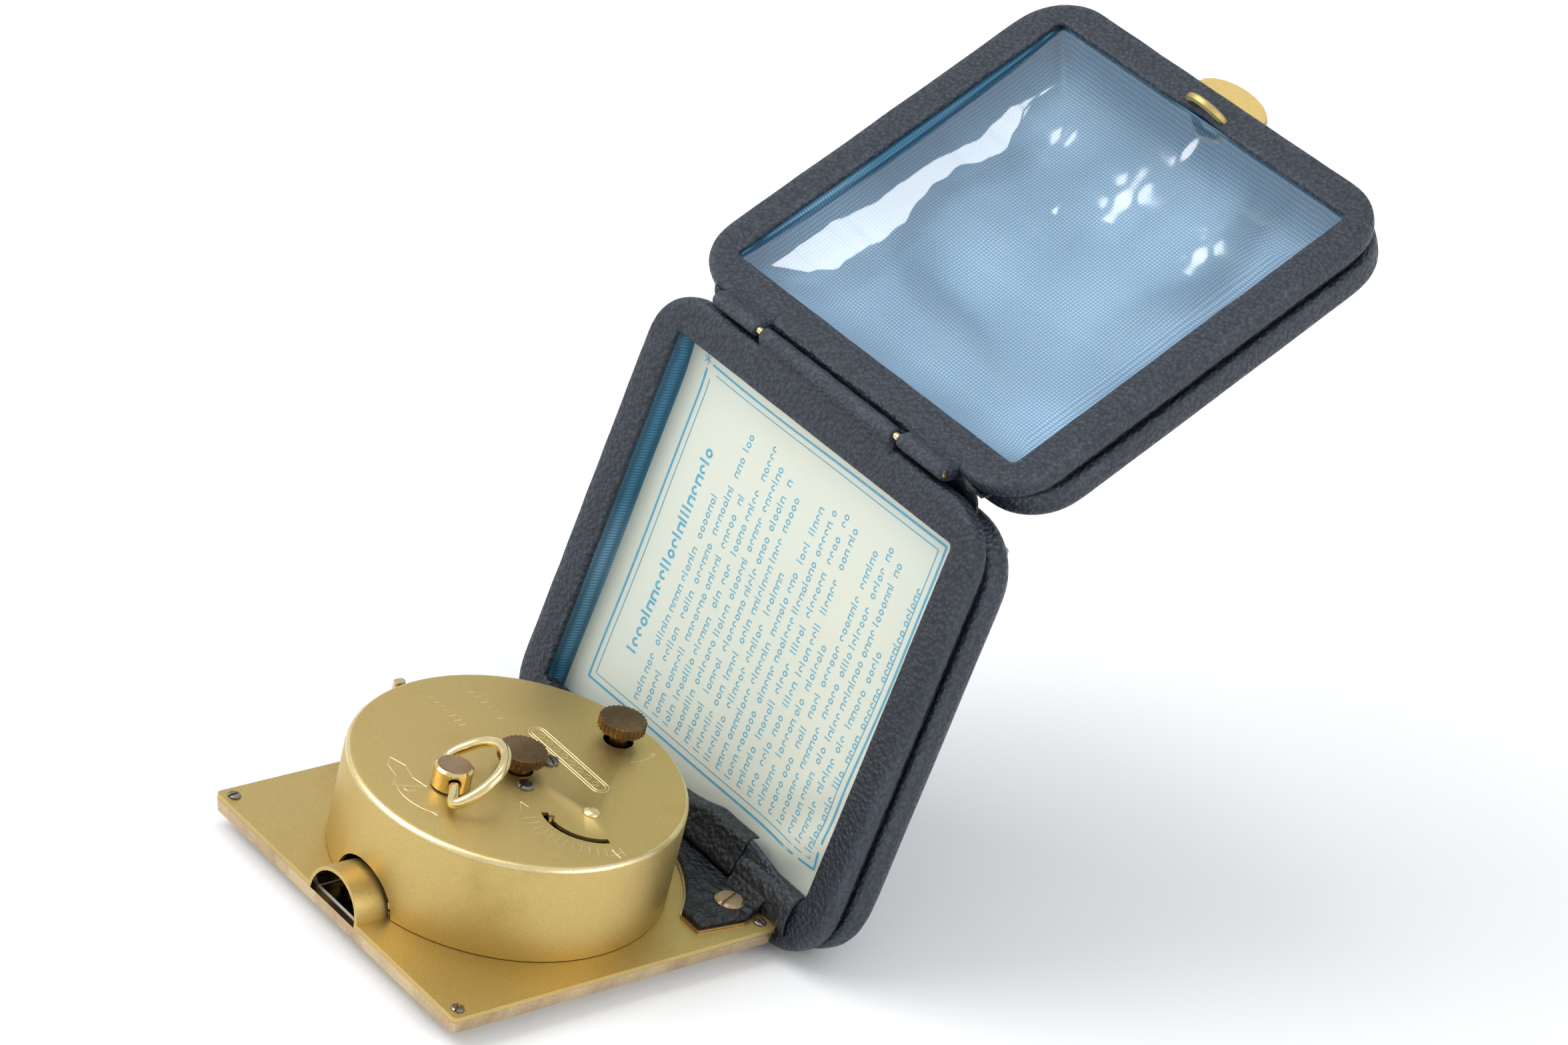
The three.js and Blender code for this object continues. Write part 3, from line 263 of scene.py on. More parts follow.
# Dark polished metal for the inside of the tunnel: painted shade with real reflections.
painted_shade_mirror = metal("painted_shade_mirror", (0.5, 0.45, 0.36), (0.07, 0.055, 0.04), 0.14, 700, 0.35, 0)


# Hidden works between the movement plates: brass wheels, plates and pillars, steel escapement.
# They keep their fixed shapes and only take their metal.
def keep(names, material):
    for name in names:
        nodes[name].data.materials.clear()
        nodes[name].data.materials.append(material)


brass_works = ["front_movement_plate", "rear_movement_plate", "pallet_cock", "mainspring_barrel",
               "centre_wheel", "minute_wheel", "hour_wheel", "alarm_wheel", "alarm_set_arbor", "third_wheel",
               "fourth_wheel", "balance_wheel", "hour_hand", "minute_hand"]
brass_works += [f"pillar_{number}" for number in range(1, 5)]
steel_works = ["ratchet_wheel", "ratchet_click", "escape_wheel", "pallet_fork", "hairspring", "alarm_hammer",
               "alarm_hand", "clasp_pin"]
keep(brass_works, bright_brass)
keep(steel_works, dark_steel)


# Turned and pressed metal parts: the fixed shapes with their edges broken and their curves smooth.
def finished_copy(node_name, body, material, bevel=0.0, smooth_angle=32):
    mesh = nodes[node_name].data.copy()
    solid = bmesh.new()
    solid.from_mesh(mesh)
    bmesh.ops.remove_doubles(solid, verts=solid.verts, dist=0.002 * MM)
    bmesh.ops.dissolve_limit(solid, angle_limit=math.radians(0.5), verts=solid.verts, edges=solid.edges)
    solid.to_mesh(mesh)
    solid.free()
    mesh.name = node_name + "_finished"
    mesh.materials.clear()
    mesh.materials.append(material)
    mesh.polygons.foreach_set("use_smooth", [True] * len(mesh.polygons))
    mesh.set_sharp_from_angle(angle=math.radians(smooth_angle))
    piece = bpy.data.objects.new(node_name + "_finished", mesh)
    bpy.context.collection.objects.link(piece)
    if bevel:
        edge = piece.modifiers.new("broken_edges", "BEVEL")
        edge.width = bevel * MM
        edge.segments = 2
        edge.limit_method = "ANGLE"
        edge.angle_limit = math.radians(smooth_angle)
        edge.harden_normals = True
    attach(piece, body)
    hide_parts(node_name)
    return piece


back_plate = finished_copy("back_plate", "clock", gold_lacquer, 0.1)
finished_copy("bezel_frame", "clock", worn_brass, 0.18)
for number in range(1, 5):
    finished_copy(f"plate_screw_{number}", "clock", dark_steel, 0.06)
for number in range(1, 3):
    finished_copy(f"cover_screw_{number}", "clock", dark_steel, 0.08)
    finished_copy(f"tab_screw_{number}", "clock", worn_brass, 0.1)
finished_copy("hand_set_knob", "centre", bronzed_brass, 0.12)
finished_copy("alarm_set_knob", "alarm_setter", bronzed_brass, 0.12)
finished_copy("regulator_lever", "regulator", bright_brass, 0.1)
finished_copy("alarm_stop_lever", "stop_lever", worn_brass, 0.08)
finished_copy("clock_hinge_pin", "clock", bright_brass)
finished_copy("case_hinge_pin", "rear_cover", bright_brass)
finished_copy("clasp", "clasp", gold_lacquer, 0.12)
winding_post = finished_copy("winding_arbor", "winding", bright_brass, 0.15)
winding_post.data.materials.append(tarnished_brass)
post_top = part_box("winding_arbor")[1].z
for face in winding_post.data.polygons:
    if face.normal.z > 0.9 and face.center.z > post_top - 0.4 * MM:
        face.material_index = 1

# The tunnel under the plate's free edge is polished inside and darkened by painted shade.
TUNNEL_R = 6.2 * MM
TUNNEL_END = -25.1 * MM
tunnel_axis_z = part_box("bezel_frame")[1].z
back_plate.data.materials.append(painted_shade_mirror)
for face in back_plate.data.polygons:
    to_axis = Vector((0, -face.center.y, tunnel_axis_z - face.center.z))
    if face.center.x < TUNNEL_END and to_axis.length < TUNNEL_R - 0.2 * MM and face.normal.dot(to_axis) > 0:
        face.material_index = 1
# A dark polished sheet over the dial at the tunnel's floor: painted shade.
tunnel_floor_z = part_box("dial")[1].z + 0.03 * MM
TUNNEL_MOUTH = -29
TUNNEL_BACK = -24.7
TUNNEL_HALF = 5.6
tunnel_outline = [(TUNNEL_MOUTH, -TUNNEL_HALF), (TUNNEL_BACK, -TUNNEL_HALF), (TUNNEL_BACK, TUNNEL_HALF),
                  (TUNNEL_MOUTH, TUNNEL_HALF)]
tunnel_corners = [(x * MM, y * MM, tunnel_floor_z) for x, y in tunnel_outline]
tunnel_shade_sheet = new_object("tunnel_shade_sheet", tunnel_corners, [(0, 1, 2, 3)], smooth=False)
tunnel_shade_sheet.data.materials.append(painted_shade_mirror)
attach(tunnel_shade_sheet, "clock")

# Movement cover: a drawn can in the same lacquer, lighter and smoother round its shoulder, rubbed
# lacquer with a painted highlight. Its flat top lies a little below its highest point.
movement_cover = finished_copy("movement_cover", "clock", gold_lacquer, 0.0, 40)
movement_cover.data.materials.append(rubbed_highlit_gold)
cover_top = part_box("movement_cover")[1].z
PROUD_OF_TOP = 0.57
DRUM_R = 26.4 * MM
SHOULDER = 1.15 * MM
# Shoulder faces take the lighter lacquer: rubbed and a painted highlight.
for face in movement_cover.data.polygons:
    out = math.hypot(face.center.x, face.center.y)
    if face.center.z > cover_top - SHOULDER and out > DRUM_R - SHOULDER and abs(face.normal.z) > 0.2:
        face.material_index = 1 if face.normal.z < 0.97 else 0


# Folding key: an oval loop of bright brass wire, its turned-in ends held in the post's cross hole.
KEY_AXIS = Vector((0.5299, 0.848, 0))
KEY_TILT = math.radians(38)
KEY_ABOVE_TOP = 2
KEY_CENTRE = Vector((-13 * MM, 0, cover_top - PROUD_OF_TOP * MM + KEY_ABOVE_TOP * MM))
KEY_WIRE_R = 0.84
LOOP_OUTLINE = [(-1, 0), (-3.8, 0), (-5.2, -0.9), (-6.6, -0.4), (-6.9, 1.6), (-6.3, 5), (-4, 8), (0, 9.2)]
LOOP_SHIFT = 1.2
loop_side = LOOP_OUTLINE + [(-a, b) for a, b in reversed(LOOP_OUTLINE[:-1])]
loop_away = Vector((0, 0, 1)).cross(KEY_AXIS) * -math.cos(KEY_TILT) + Vector((0, 0, 1)) * math.sin(KEY_TILT)
loop_curve = bpy.data.curves.new("key_wire", "CURVE")
loop_curve.dimensions = "3D"
loop_curve.bevel_depth = KEY_WIRE_R * MM
loop_curve.bevel_resolution = 6
loop_curve.resolution_u = 10
loop_curve.use_fill_caps = True
wire = loop_curve.splines.new("NURBS")
wire.points.add(len(loop_side) - 1)
for point, (along, away) in zip(wire.points, loop_side):
    at = KEY_CENTRE - KEY_AXIS * (along + LOOP_SHIFT) * MM + loop_away * away * MM
    point.co = (*at, 1)
wire.order_u = 4
wire.use_endpoint_u = True
wire_object = bpy.data.objects.new("key_wire_curve", loop_curve)
bpy.context.collection.objects.link(wire_object)
depsgraph = bpy.context.evaluated_depsgraph_get()
wire_mesh = bpy.data.meshes.new_from_object(wire_object.evaluated_get(depsgraph))
bpy.data.objects.remove(wire_object)
key_wire = bpy.data.objects.new("key_wire", wire_mesh)
bpy.context.collection.objects.link(key_wire)
wire_mesh.materials.clear()
wire_mesh.materials.append(polished_brass)
wire_mesh.polygons.foreach_set("use_smooth", [True] * len(wire_mesh.polygons))
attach(key_wire, "key")
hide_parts("key_loop")

# Engraving on the cover: a cross, an arrow, a bell, a plain long cartouche, turn marks and short
# strokes. Each line is a shallow burr of raised metal, bright on one side.
drum_top = cover_top / MM - PROUD_OF_TOP
ENGRAVED_WIDTH = 0.17
ENGRAVED_HEIGHT = 0.06
engraved_vertices = []
engraved_faces = []


def engrave(points, closed=False, width=ENGRAVED_WIDTH):
    pairs = list(zip(points, points[1:] + points[:1])) if closed else list(zip(points, points[1:]))
    for (x0, y0), (x1, y1) in pairs:
        length = math.hypot(x1 - x0, y1 - y0) or 1
        across = Vector((-(y1 - y0) / length, (x1 - x0) / length, 0)) * width / 2
        start = len(engraved_vertices)
        for x, y in ((x0, y0), (x1, y1)):
            middle = Vector((x, y, drum_top))
            engraved_vertices.extend([(middle + across) * MM, (middle + Vector((0, 0, ENGRAVED_HEIGHT))) * MM,
                                      (middle - across) * MM])
        a, b = start, start + 3
        engraved_faces.extend([(a, a + 1, b + 1, b), (a + 1, a + 2, b + 2, b + 1), (a, b, b + 2, a + 2),
                               (a, a + 2, a + 1), (b, b + 1, b + 2)])


def arc(centre, radius, start, end, steps=12):
    angles = [math.radians(start + (end - start) * i / steps) for i in range(steps + 1)]
    return [(centre[0] + radius * math.cos(a), centre[1] + radius * math.sin(a)) for a in angles]


CROSS = [[(0.3, -22.9), (0.3, -25.1)], [(-0.8, -24), (1.4, -24)]]
ARROW = [(-6.6, -9.2), (-5.2, -7.4), (-4.9, -9)]
for line in (*CROSS, ARROW):
    engrave(line)
CARTOUCHE = {"x": 9, "from": 7, "to": -8.6, "radius": 1.5}
for radius in (CARTOUCHE["radius"], CARTOUCHE["radius"] - 0.5):
    ends = (arc((CARTOUCHE["x"], CARTOUCHE["from"]), radius, 0, 180)
            + arc((CARTOUCHE["x"], CARTOUCHE["to"]), radius, 180, 360))
    engrave(ends, closed=True)
LOZENGE_PITCH = 1.95
for lozenge in range(8):
    x, y = CARTOUCHE["x"], 6 - lozenge * LOZENGE_PITCH
    engrave([(x, y + 0.7), (x + 0.6, y), (x, y - 0.7), (x - 0.6, y)], closed=True, width=0.08)
KEY_TURN_MARK = [arc((-13, 0), 8.4, 150, 215), [(-19.6, -5.8), (-19.9, -4.8), (-18.9, -5.1)]]
BELL = [(-17.2, 9.6), (-18.7, 8.2), (-19.3, 5.2), (-21.4, 3.4), (-16.6, 1), (-17.2, 3.8), (-16.3, 6.9),
        (-17.2, 9.6)]
CLAPPER = arc((-19.4, 1.7), 0.8, 120, 330)
KNOB_TURN_MARK = [arc((20, 0.8), 6, 250, 300), [(22.5, -4), (23.1, -4.6), (22.2, -5)]]
for line in (*KEY_TURN_MARK, BELL, CLAPPER, *KNOB_TURN_MARK):
    engrave(line)
random.seed(7)
STROKES = 7
for x, low, high in ((-1, 13, 21), (6, 12.4, 21.6)):
    for stroke in range(STROKES):
        y = low + (high - low) * stroke / (STROKES - 1)
        engrave([(x - 0.7, y), (x + random.uniform(0.2, 0.7), y + random.uniform(-0.25, 0.25))], width=0.12)


# Regulator scale: bright bars cut on an arc about the regulator's centre, on the drum's top. The
# same node group lays the marks on the dial.
REGULATOR_CENTRE = (3.4, -13.8)


def bars_on_arc(name, material, slot_name, at, **values):
    group = bpy.data.node_groups.new(name, "GeometryNodeTree")
    kinds = {"Count": "NodeSocketInt", "Radius": "NodeSocketFloat", "First angle": "NodeSocketFloat",
             "Step angle": "NodeSocketFloat", "Bar size": "NodeSocketVector",
             "Material": "NodeSocketMaterial"}
    sockets = {label: group.interface.new_socket(label, in_out="INPUT", socket_type=kind)
               for label, kind in kinds.items()}
    group.interface.new_socket("Geometry", in_out="OUTPUT", socket_type="NodeSocketGeometry")
    entry = group.nodes.new("NodeGroupInput")
    entry.label = "what the marks are like"
    entry.location = (-900, 0)
    number = group.nodes.new("GeometryNodeInputIndex")
    number.label = "number of the mark"
    number.location = (-900, -260)
    turn = group.nodes.new("ShaderNodeMath")
    turn.label = "angle of the mark"
    turn.location = (-660, -200)
    turn.operation = "MULTIPLY_ADD"
    facing = group.nodes.new("ShaderNodeCombineXYZ")
    facing.label = "mark points outwards"
    facing.location = (-440, -320)
    outwards = group.nodes.new("ShaderNodeVectorRotate")
    outwards.label = "place on the arc"
    outwards.location = (-440, -120)
    outwards.rotation_type = "Z_AXIS"
    reach = group.nodes.new("ShaderNodeCombineXYZ")
    reach.label = "radius along X"
    reach.location = (-660, 0)
    points = group.nodes.new("GeometryNodePoints")
    points.label = "a point for each mark"
    points.location = (-220, 60)
    bar = group.nodes.new("GeometryNodeMeshCube")
    bar.label = "one mark"
    bar.location = (-220, -140)
    spread = group.nodes.new("GeometryNodeInstanceOnPoints")
    spread.label = "marks on the arc"
    spread.location = (0, 0)
    solid = group.nodes.new("GeometryNodeRealizeInstances")
    solid.label = "plain mesh"
    solid.location = (200, 0)
    paint = group.nodes.new("GeometryNodeSetMaterial")
    paint.label = "metal of the marks"
    paint.location = (400, 0)
    leaving = group.nodes.new("NodeGroupOutput")
    leaving.location = (600, 0)
    links = group.links
    links.new(number.outputs["Index"], turn.inputs[0])
    links.new(entry.outputs["Step angle"], turn.inputs[1])
    links.new(entry.outputs["First angle"], turn.inputs[2])
    links.new(turn.outputs["Value"], facing.inputs["Z"])
    links.new(entry.outputs["Radius"], reach.inputs["X"])
    links.new(reach.outputs["Vector"], outwards.inputs["Vector"])
    links.new(turn.outputs["Value"], outwards.inputs["Angle"])
    links.new(entry.outputs["Count"], points.inputs["Count"])
    links.new(outwards.outputs["Vector"], points.inputs["Position"])
    links.new(entry.outputs["Bar size"], bar.inputs["Size"])
    links.new(points.outputs["Points"], spread.inputs["Points"])
    links.new(bar.outputs["Mesh"], spread.inputs["Instance"])
    links.new(facing.outputs["Vector"], spread.inputs["Rotation"])
    links.new(spread.outputs["Instances"], solid.inputs["Geometry"])
    links.new(solid.outputs["Geometry"], paint.inputs["Geometry"])
    links.new(entry.outputs["Material"], paint.inputs["Material"])
    links.new(paint.outputs["Geometry"], leaving.inputs["Geometry"])
    carrier = bpy.data.objects.new(name, bpy.data.meshes.new(name))
    bpy.context.collection.objects.link(carrier)
    modifier = carrier.modifiers.new(name, "NODES")
    modifier.node_group = group
    for label, value in values.items():
        modifier[sockets[label.replace("_", " ")].identifier] = value
    modifier[sockets["Material"].identifier] = material
    graph = bpy.context.evaluated_depsgraph_get()
    carrier.data = bpy.data.meshes.new_from_object(carrier.evaluated_get(graph))
    carrier.modifiers.clear()
    carrier.data.transform(Matrix.Translation(Vector(at) * MM))
    carrier.data.materials.clear()
    carrier.data.materials.append(material)
    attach(carrier, "clock")
    return carrier


bars_on_arc("regulator_scale", engraved_gold, "gold_lacquer", (*REGULATOR_CENTRE, drum_top), Count=14,
            Radius=10.2 * MM, First_angle=math.radians(166), Step_angle=math.radians(7.2),
            Bar_size=(2 * MM, 0.17 * MM, 0.08 * MM))


# Balance dome: a low turned brass dome, lighter with rubbing and a painted highlight, in the middle
# of the regulator scale.
def band(ring, following):
    ends = list(range(1, len(ring))) + [0]
    return [(ring[a], ring[b], following[b], following[a]) for a, b in enumerate(ends)]


dome_rings = [(1.4, -0.05), (1.32, 0.2), (1.05, 0.45), (0.65, 0.6), (0.2, 0.65)]
DOME_SIDES = 28
dome_vertices = [Vector((REGULATOR_CENTRE[0] + r * math.cos(math.tau * k / DOME_SIDES),
                         REGULATOR_CENTRE[1] + r * math.sin(math.tau * k / DOME_SIDES), drum_top + z)) * MM
                 for r, z in dome_rings for k in range(DOME_SIDES)]
dome_rows = [range(a * DOME_SIDES, (a + 1) * DOME_SIDES) for a in range(len(dome_rings))]
dome_faces = [face for row, following in zip(dome_rows, dome_rows[1:]) for face in band(row, following)]
dome_faces.append(tuple(dome_rows[-1]))
dome_faces.append(tuple(reversed(dome_rows[0])))
balance_dome = new_object("balance_dome", dome_vertices, dome_faces)
balance_dome.data.materials.append(rubbed_highlit_gold)
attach(balance_dome, "clock")
engraving = new_object("cover_engraving", engraved_vertices, engraved_faces, smooth=False)
engraving.data.materials.append(engraved_gold)
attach(engraving, "clock")


# Leather of the case: navy pebble-grained leather, paler and smoother where the folds are rubbed; on
# the hinge wraps the paler top of the roll is also a painted sheen.
def leather(name, tone, rubbed, roughness, pebble, depth):
    material = bpy.data.materials.new(name)
    material.use_nodes = True
    tree = material.node_tree
    tree.nodes.clear()
    place = tree.nodes.new("ShaderNodeTexCoord")
    place.label = "place on the object"
    place.location = (-1500, 0)
    pebbles = tree.nodes.new("ShaderNodeTexVoronoi")
    pebbles.label = "pebbles of the grain"
    pebbles.location = (-1200, 60)
    pebbles.feature = "SMOOTH_F1"
    pebbles.inputs["Scale"].default_value = pebble
    pebbles.inputs["Smoothness"].default_value = 0.6
    creases = tree.nodes.new("ShaderNodeTexNoise")
    creases.label = "uneven hide and small creases"
    creases.location = (-1200, -240)
    creases.inputs["Scale"].default_value = 420
    creases.inputs["Detail"].default_value = 7
    creases.inputs["Roughness"].default_value = 0.7
    patches = tree.nodes.new("ShaderNodeTexNoise")
    patches.label = "handled patches"
    patches.location = (-1200, 340)
    patches.inputs["Scale"].default_value = 70
    patches.inputs["Detail"].default_value = 4
    wear = tree.nodes.new("ShaderNodeAttribute")
    wear.label = "how rubbed the fold is"
    wear.location = (-1200, 560)
    wear.attribute_name = "wear"
    rub = tree.nodes.new("ShaderNodeMath")
    rub.label = "rubbed only in patches"
    rub.location = (-920, 460)
    rub.operation = "MULTIPLY"
    rub_range = tree.nodes.new("ShaderNodeMapRange")
    rub_range.label = "edge of the rubbing"
    rub_range.location = (-720, 460)
    rub_range.inputs["From Min"].default_value = 0.12
    rub_range.inputs["From Max"].default_value = 0.6
    colour = tree.nodes.new("ShaderNodeMix")
    colour.label = "dye and rubbed dye"
    colour.location = (-420, 320)
    colour.data_type = "RGBA"
    colour.inputs["A"].default_value = (*tone, 1)
    colour.inputs["B"].default_value = (*rubbed, 1)
    valleys = tree.nodes.new("ShaderNodeMapRange")
    valleys.label = "dye is darker between pebbles"
    valleys.location = (-720, 120)
    valleys.inputs["From Min"].default_value = 0.1
    valleys.inputs["From Max"].default_value = 0.75
    valleys.inputs["To Min"].default_value = 1.3
    valleys.inputs["To Max"].default_value = 0.55
    dyed = tree.nodes.new("ShaderNodeVectorMath")
    dyed.label = "dye with its grain"
    dyed.location = (-200, 260)
    dyed.operation = "SCALE"
    height = tree.nodes.new("ShaderNodeMath")
    height.label = "pebbles and creases together"
    height.location = (-720, -180)
    height.operation = "MULTIPLY_ADD"
    height.inputs[1].default_value = -1.1
    relief = tree.nodes.new("ShaderNodeBump")
    relief.label = "depth of the grain"
    relief.location = (-420, -180)
    relief.inputs["Strength"].default_value = depth
    relief.inputs["Distance"].default_value = 0.3 * MM
    shader = tree.nodes.new("ShaderNodeBsdfPrincipled")
    shader.label = name
    shader.location = (40, 120)
    shader.inputs["Specular IOR Level"].default_value = 0.5
    polish = tree.nodes.new("ShaderNodeMapRange")
    polish.label = "pebble tops are polished"
    polish.location = (-420, -420)
    polish.inputs["From Min"].default_value = 0.1
    polish.inputs["From Max"].default_value = 0.6
    polish.inputs["To Min"].default_value = roughness - 0.14
    polish.inputs["To Max"].default_value = roughness + 0.2
    output = tree.nodes.new("ShaderNodeOutputMaterial")
    output.location = (340, 120)
    grain_group = tree.nodes.new("NodeFrame")
    grain_group.label = "grain"
    for node in (pebbles, creases, height, relief):
        node.parent = grain_group
    dye_group = tree.nodes.new("NodeFrame")
    dye_group.label = "dye and wear"
    for node in (patches, wear, rub, rub_range, colour, valleys, dyed):
        node.parent = dye_group
    links = tree.links
    for texture in (pebbles, creases, patches):
        links.new(place.outputs["Object"], texture.inputs["Vector"])
    links.new(wear.outputs["Fac"], rub.inputs[0])
    links.new(patches.outputs["Fac"], rub.inputs[1])
    links.new(rub.outputs["Value"], rub_range.inputs["Value"])
    links.new(rub_range.outputs["Result"], colour.inputs["Factor"])
    links.new(pebbles.outputs["Distance"], valleys.inputs["Value"])
    links.new(colour.outputs["Result"], dyed.inputs[0])
    links.new(valleys.outputs["Result"], dyed.inputs["Scale"])
    links.new(pebbles.outputs["Distance"], polish.inputs["Value"])
    links.new(polish.outputs["Result"], shader.inputs["Roughness"])
    links.new(pebbles.outputs["Distance"], height.inputs[0])
    links.new(creases.outputs["Fac"], height.inputs[2])
    links.new(height.outputs["Value"], relief.inputs["Height"])
    links.new(dyed.outputs["Vector"], shader.inputs["Base Color"])
    links.new(relief.outputs["Normal"], shader.inputs["Normal"])
    links.new(shader.outputs["BSDF"], output.inputs["Surface"])
    return material


case_leather = leather("navy_leather", (0.015, 0.023, 0.036), (0.042, 0.056, 0.077), 0.36, 1500, 1.0)
hinge_leather = leather("black_leather", (0.005, 0.007, 0.011), (0.024, 0.03, 0.04), 0.3, 1200, 1.0)

# Places on the case panels. Each panel has its own axes: X runs up the panel from its hinge pin,
# Y along the pin, Z out of the panel's inner side. A panel's pieces are in millimetres until placed.
hinge_places = {joint["name"]: Vector(joint["pos_m"]) for joint in frame["record"]["behaviour"]["joints"]
                if joint["type"] == "hinge"}
REAR_ANGLE = math.radians(-80.08)
LID_ANGLE = math.radians(50.7)
HINGE_SPAN = 75.3
rear_axes = Matrix.Translation(hinge_places["rear_cover_hinge"]) @ Matrix.Rotation(REAR_ANGLE, 4, "Y")
lid_axes = rear_axes @ Matrix.Translation((HINGE_SPAN * MM, 0, 0)) @ Matrix.Rotation(LID_ANGLE, 4, "Y")


def placed(piece, axes, body, slot_name, *replaced):
    piece.data.transform(Matrix.Diagonal((MM, MM, MM, 1)))
    piece.data.transform(axes)
    piece.data.update()
    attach(piece, body)
    if replaced:
        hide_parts(*replaced)
    return piece


def smoothed(piece, levels=1):
    subdivision = piece.modifiers.new("smooth", "SUBSURF")
    subdivision.levels = levels
    subdivision.render_levels = levels


def set_wear(piece, amounts):
    layer = piece.data.attributes.new("wear", "FLOAT", "POINT")
    layer.data.foreach_set("value", amounts)


# Outline of a panel with rounded corners, counter-clockwise from the corner at high X and high Y.
# Each corner's arc is followed by the side that leaves it.
SIDE_STEPS = 26
CORNER_STEPS = 8


def rounded_outline(x, y, radius, side_steps=SIDE_STEPS, corner_steps=CORNER_STEPS):
    points = []
    corners = [(x[1] - radius, y[1] - radius), (x[0] + radius, y[1] - radius),
               (x[0] + radius, y[0] + radius), (x[1] - radius, y[0] + radius)]
    for index, (cx, cy) in enumerate(corners):
        for step in range(corner_steps + 1):
            angle = math.radians(90 * (index + step / corner_steps))
            points.append(Vector((cx + radius * math.cos(angle), cy + radius * math.sin(angle), 0)))
        nx, ny = corners[(index + 1) % 4]
        turn = math.radians(90 * (index + 1))
        edge = Vector((radius * math.cos(turn), radius * math.sin(turn), 0))
        for step in range(1, side_steps):
            share = step / side_steps
            points.append(Vector((cx + (nx - cx) * share, cy + (ny - cy) * share, 0)) + edge)
    return points


# Case frames: a stiff ring covered in leather turned over both edges, slightly puffed, with small
# pleats where it goes round the window's corners.
FACE = -0.4
OUTER_TURN = [(0.7, -3.5, 0.1), (0.05, -3.2, 0.1), (0, -1.5, 0.3), (0.06, -0.9, 0.75), (0.28, -0.52, 1),
              (0.85, -0.36, 0.7)]
INNER_TURN = [(0.8, -0.36, 0.5), (0.26, -0.42, 0.9), (0.05, -0.7, 0.6), (0, -1.25, 0.1), (0.35, -1.6, 0),
              (1.3, -1.75, 0)]


def case_frame(name, outer, inner, puff, seed):
    vertices = []
    wear = []
    rows = []
    for rim, edge in zip(outer, inner):
        span = edge - rim
        width = span.length
        across = span / width
        row = []
        shares = [(d / width, z, w) for d, z, w in OUTER_TURN]
        shares += [(s, FACE + 0.12 + puff * math.sin(math.pi * s), 0.22) for s in (0.3, 0.45, 0.6, 0.75)]
        shares += [(1 - d / width, z, w) for d, z, w in INNER_TURN]
        shares += [(0.55, -3.4, 0)]
        for share, z, amount in shares:
            point = rim + across * width * share
            bump = noise.noise(Vector((point.x, point.y, z + seed)) * 0.45) * 0.16
            bump += noise.noise(Vector((point.x, point.y, z - seed)) * 1.3) * 0.05
            if z > -1.8:
                point = point + Vector((0, 0, bump))
            point.z += z
            row.append(len(vertices))
            vertices.append(point)
            wear.append(amount * (0.75 + 0.5 * noise.noise(point * 0.21)))
        rows.append(row)
    faces = []
    for row, following in zip(rows, rows[1:] + rows[:1]):
        faces.extend(band(row, following))
    piece = new_object(name, vertices, faces)
    set_wear(piece, wear)
    smoothed(piece)
    piece.data.materials.append(case_leather)
    return piece


CASE_HALF = 39
CASE_CORNER = 9.5
WINDOW_HALF = 33
WINDOW_CORNER = 0.8
REAR_X = (-5.8, 73)
REAR_WINDOW = (5.9, 66.4)
BAR_END = 3.4
DRUM_CLEAR = 27.2
DRUM_AT = 31.65
rear_rim = rounded_outline(REAR_X, (-CASE_HALF, CASE_HALF), CASE_CORNER)
rear_edge = rounded_outline((BAR_END, REAR_WINDOW[1]), (-WINDOW_HALF, WINDOW_HALF), WINDOW_CORNER)
for point in rear_edge:
    if point.x < BAR_END + 2.5 and abs(point.y) < WINDOW_HALF - 2:
        taper = min(1, max(0, (WINDOW_HALF - 2 - abs(point.y)) / 11.5))
        bar = BAR_END + (REAR_WINDOW[0] - BAR_END) * taper
        clear = DRUM_AT - math.sqrt(max(0, DRUM_CLEAR ** 2 - point.y ** 2))
        point.x = min(bar, max(clear, BAR_END))
placed(case_frame("rear_frame_leather", rear_rim, rear_edge, 0.08, 3), rear_axes, "rear_cover", "leather",
       "rear_frame")
LID_X = (2.3, 81.1)
LID_WINDOW = (8.4, 75.4)
lid_rim = rounded_outline(LID_X, (-CASE_HALF, CASE_HALF), CASE_CORNER)
lid_edge = rounded_outline(LID_WINDOW, (-WINDOW_HALF, WINDOW_HALF), WINDOW_CORNER)
for point in lid_edge:
    near_bow = max(0, 1 - abs(point.y) / 7)
    if point.x > LID_WINDOW[1] - 1:
        point.x += 0.5 * near_bow
placed(case_frame("lid_frame_leather", lid_rim, lid_edge, 0.08, 11), lid_axes, "lid", "leather", "lid_frame")


# Outer shells: the cushion-shaped backs of the case, covered in the same leather, with a rounded
# rim and a narrow dark groove between rim and frame, where the inner core shows.
RIM_TOP = -5.1
RIM_BACK = -9.4


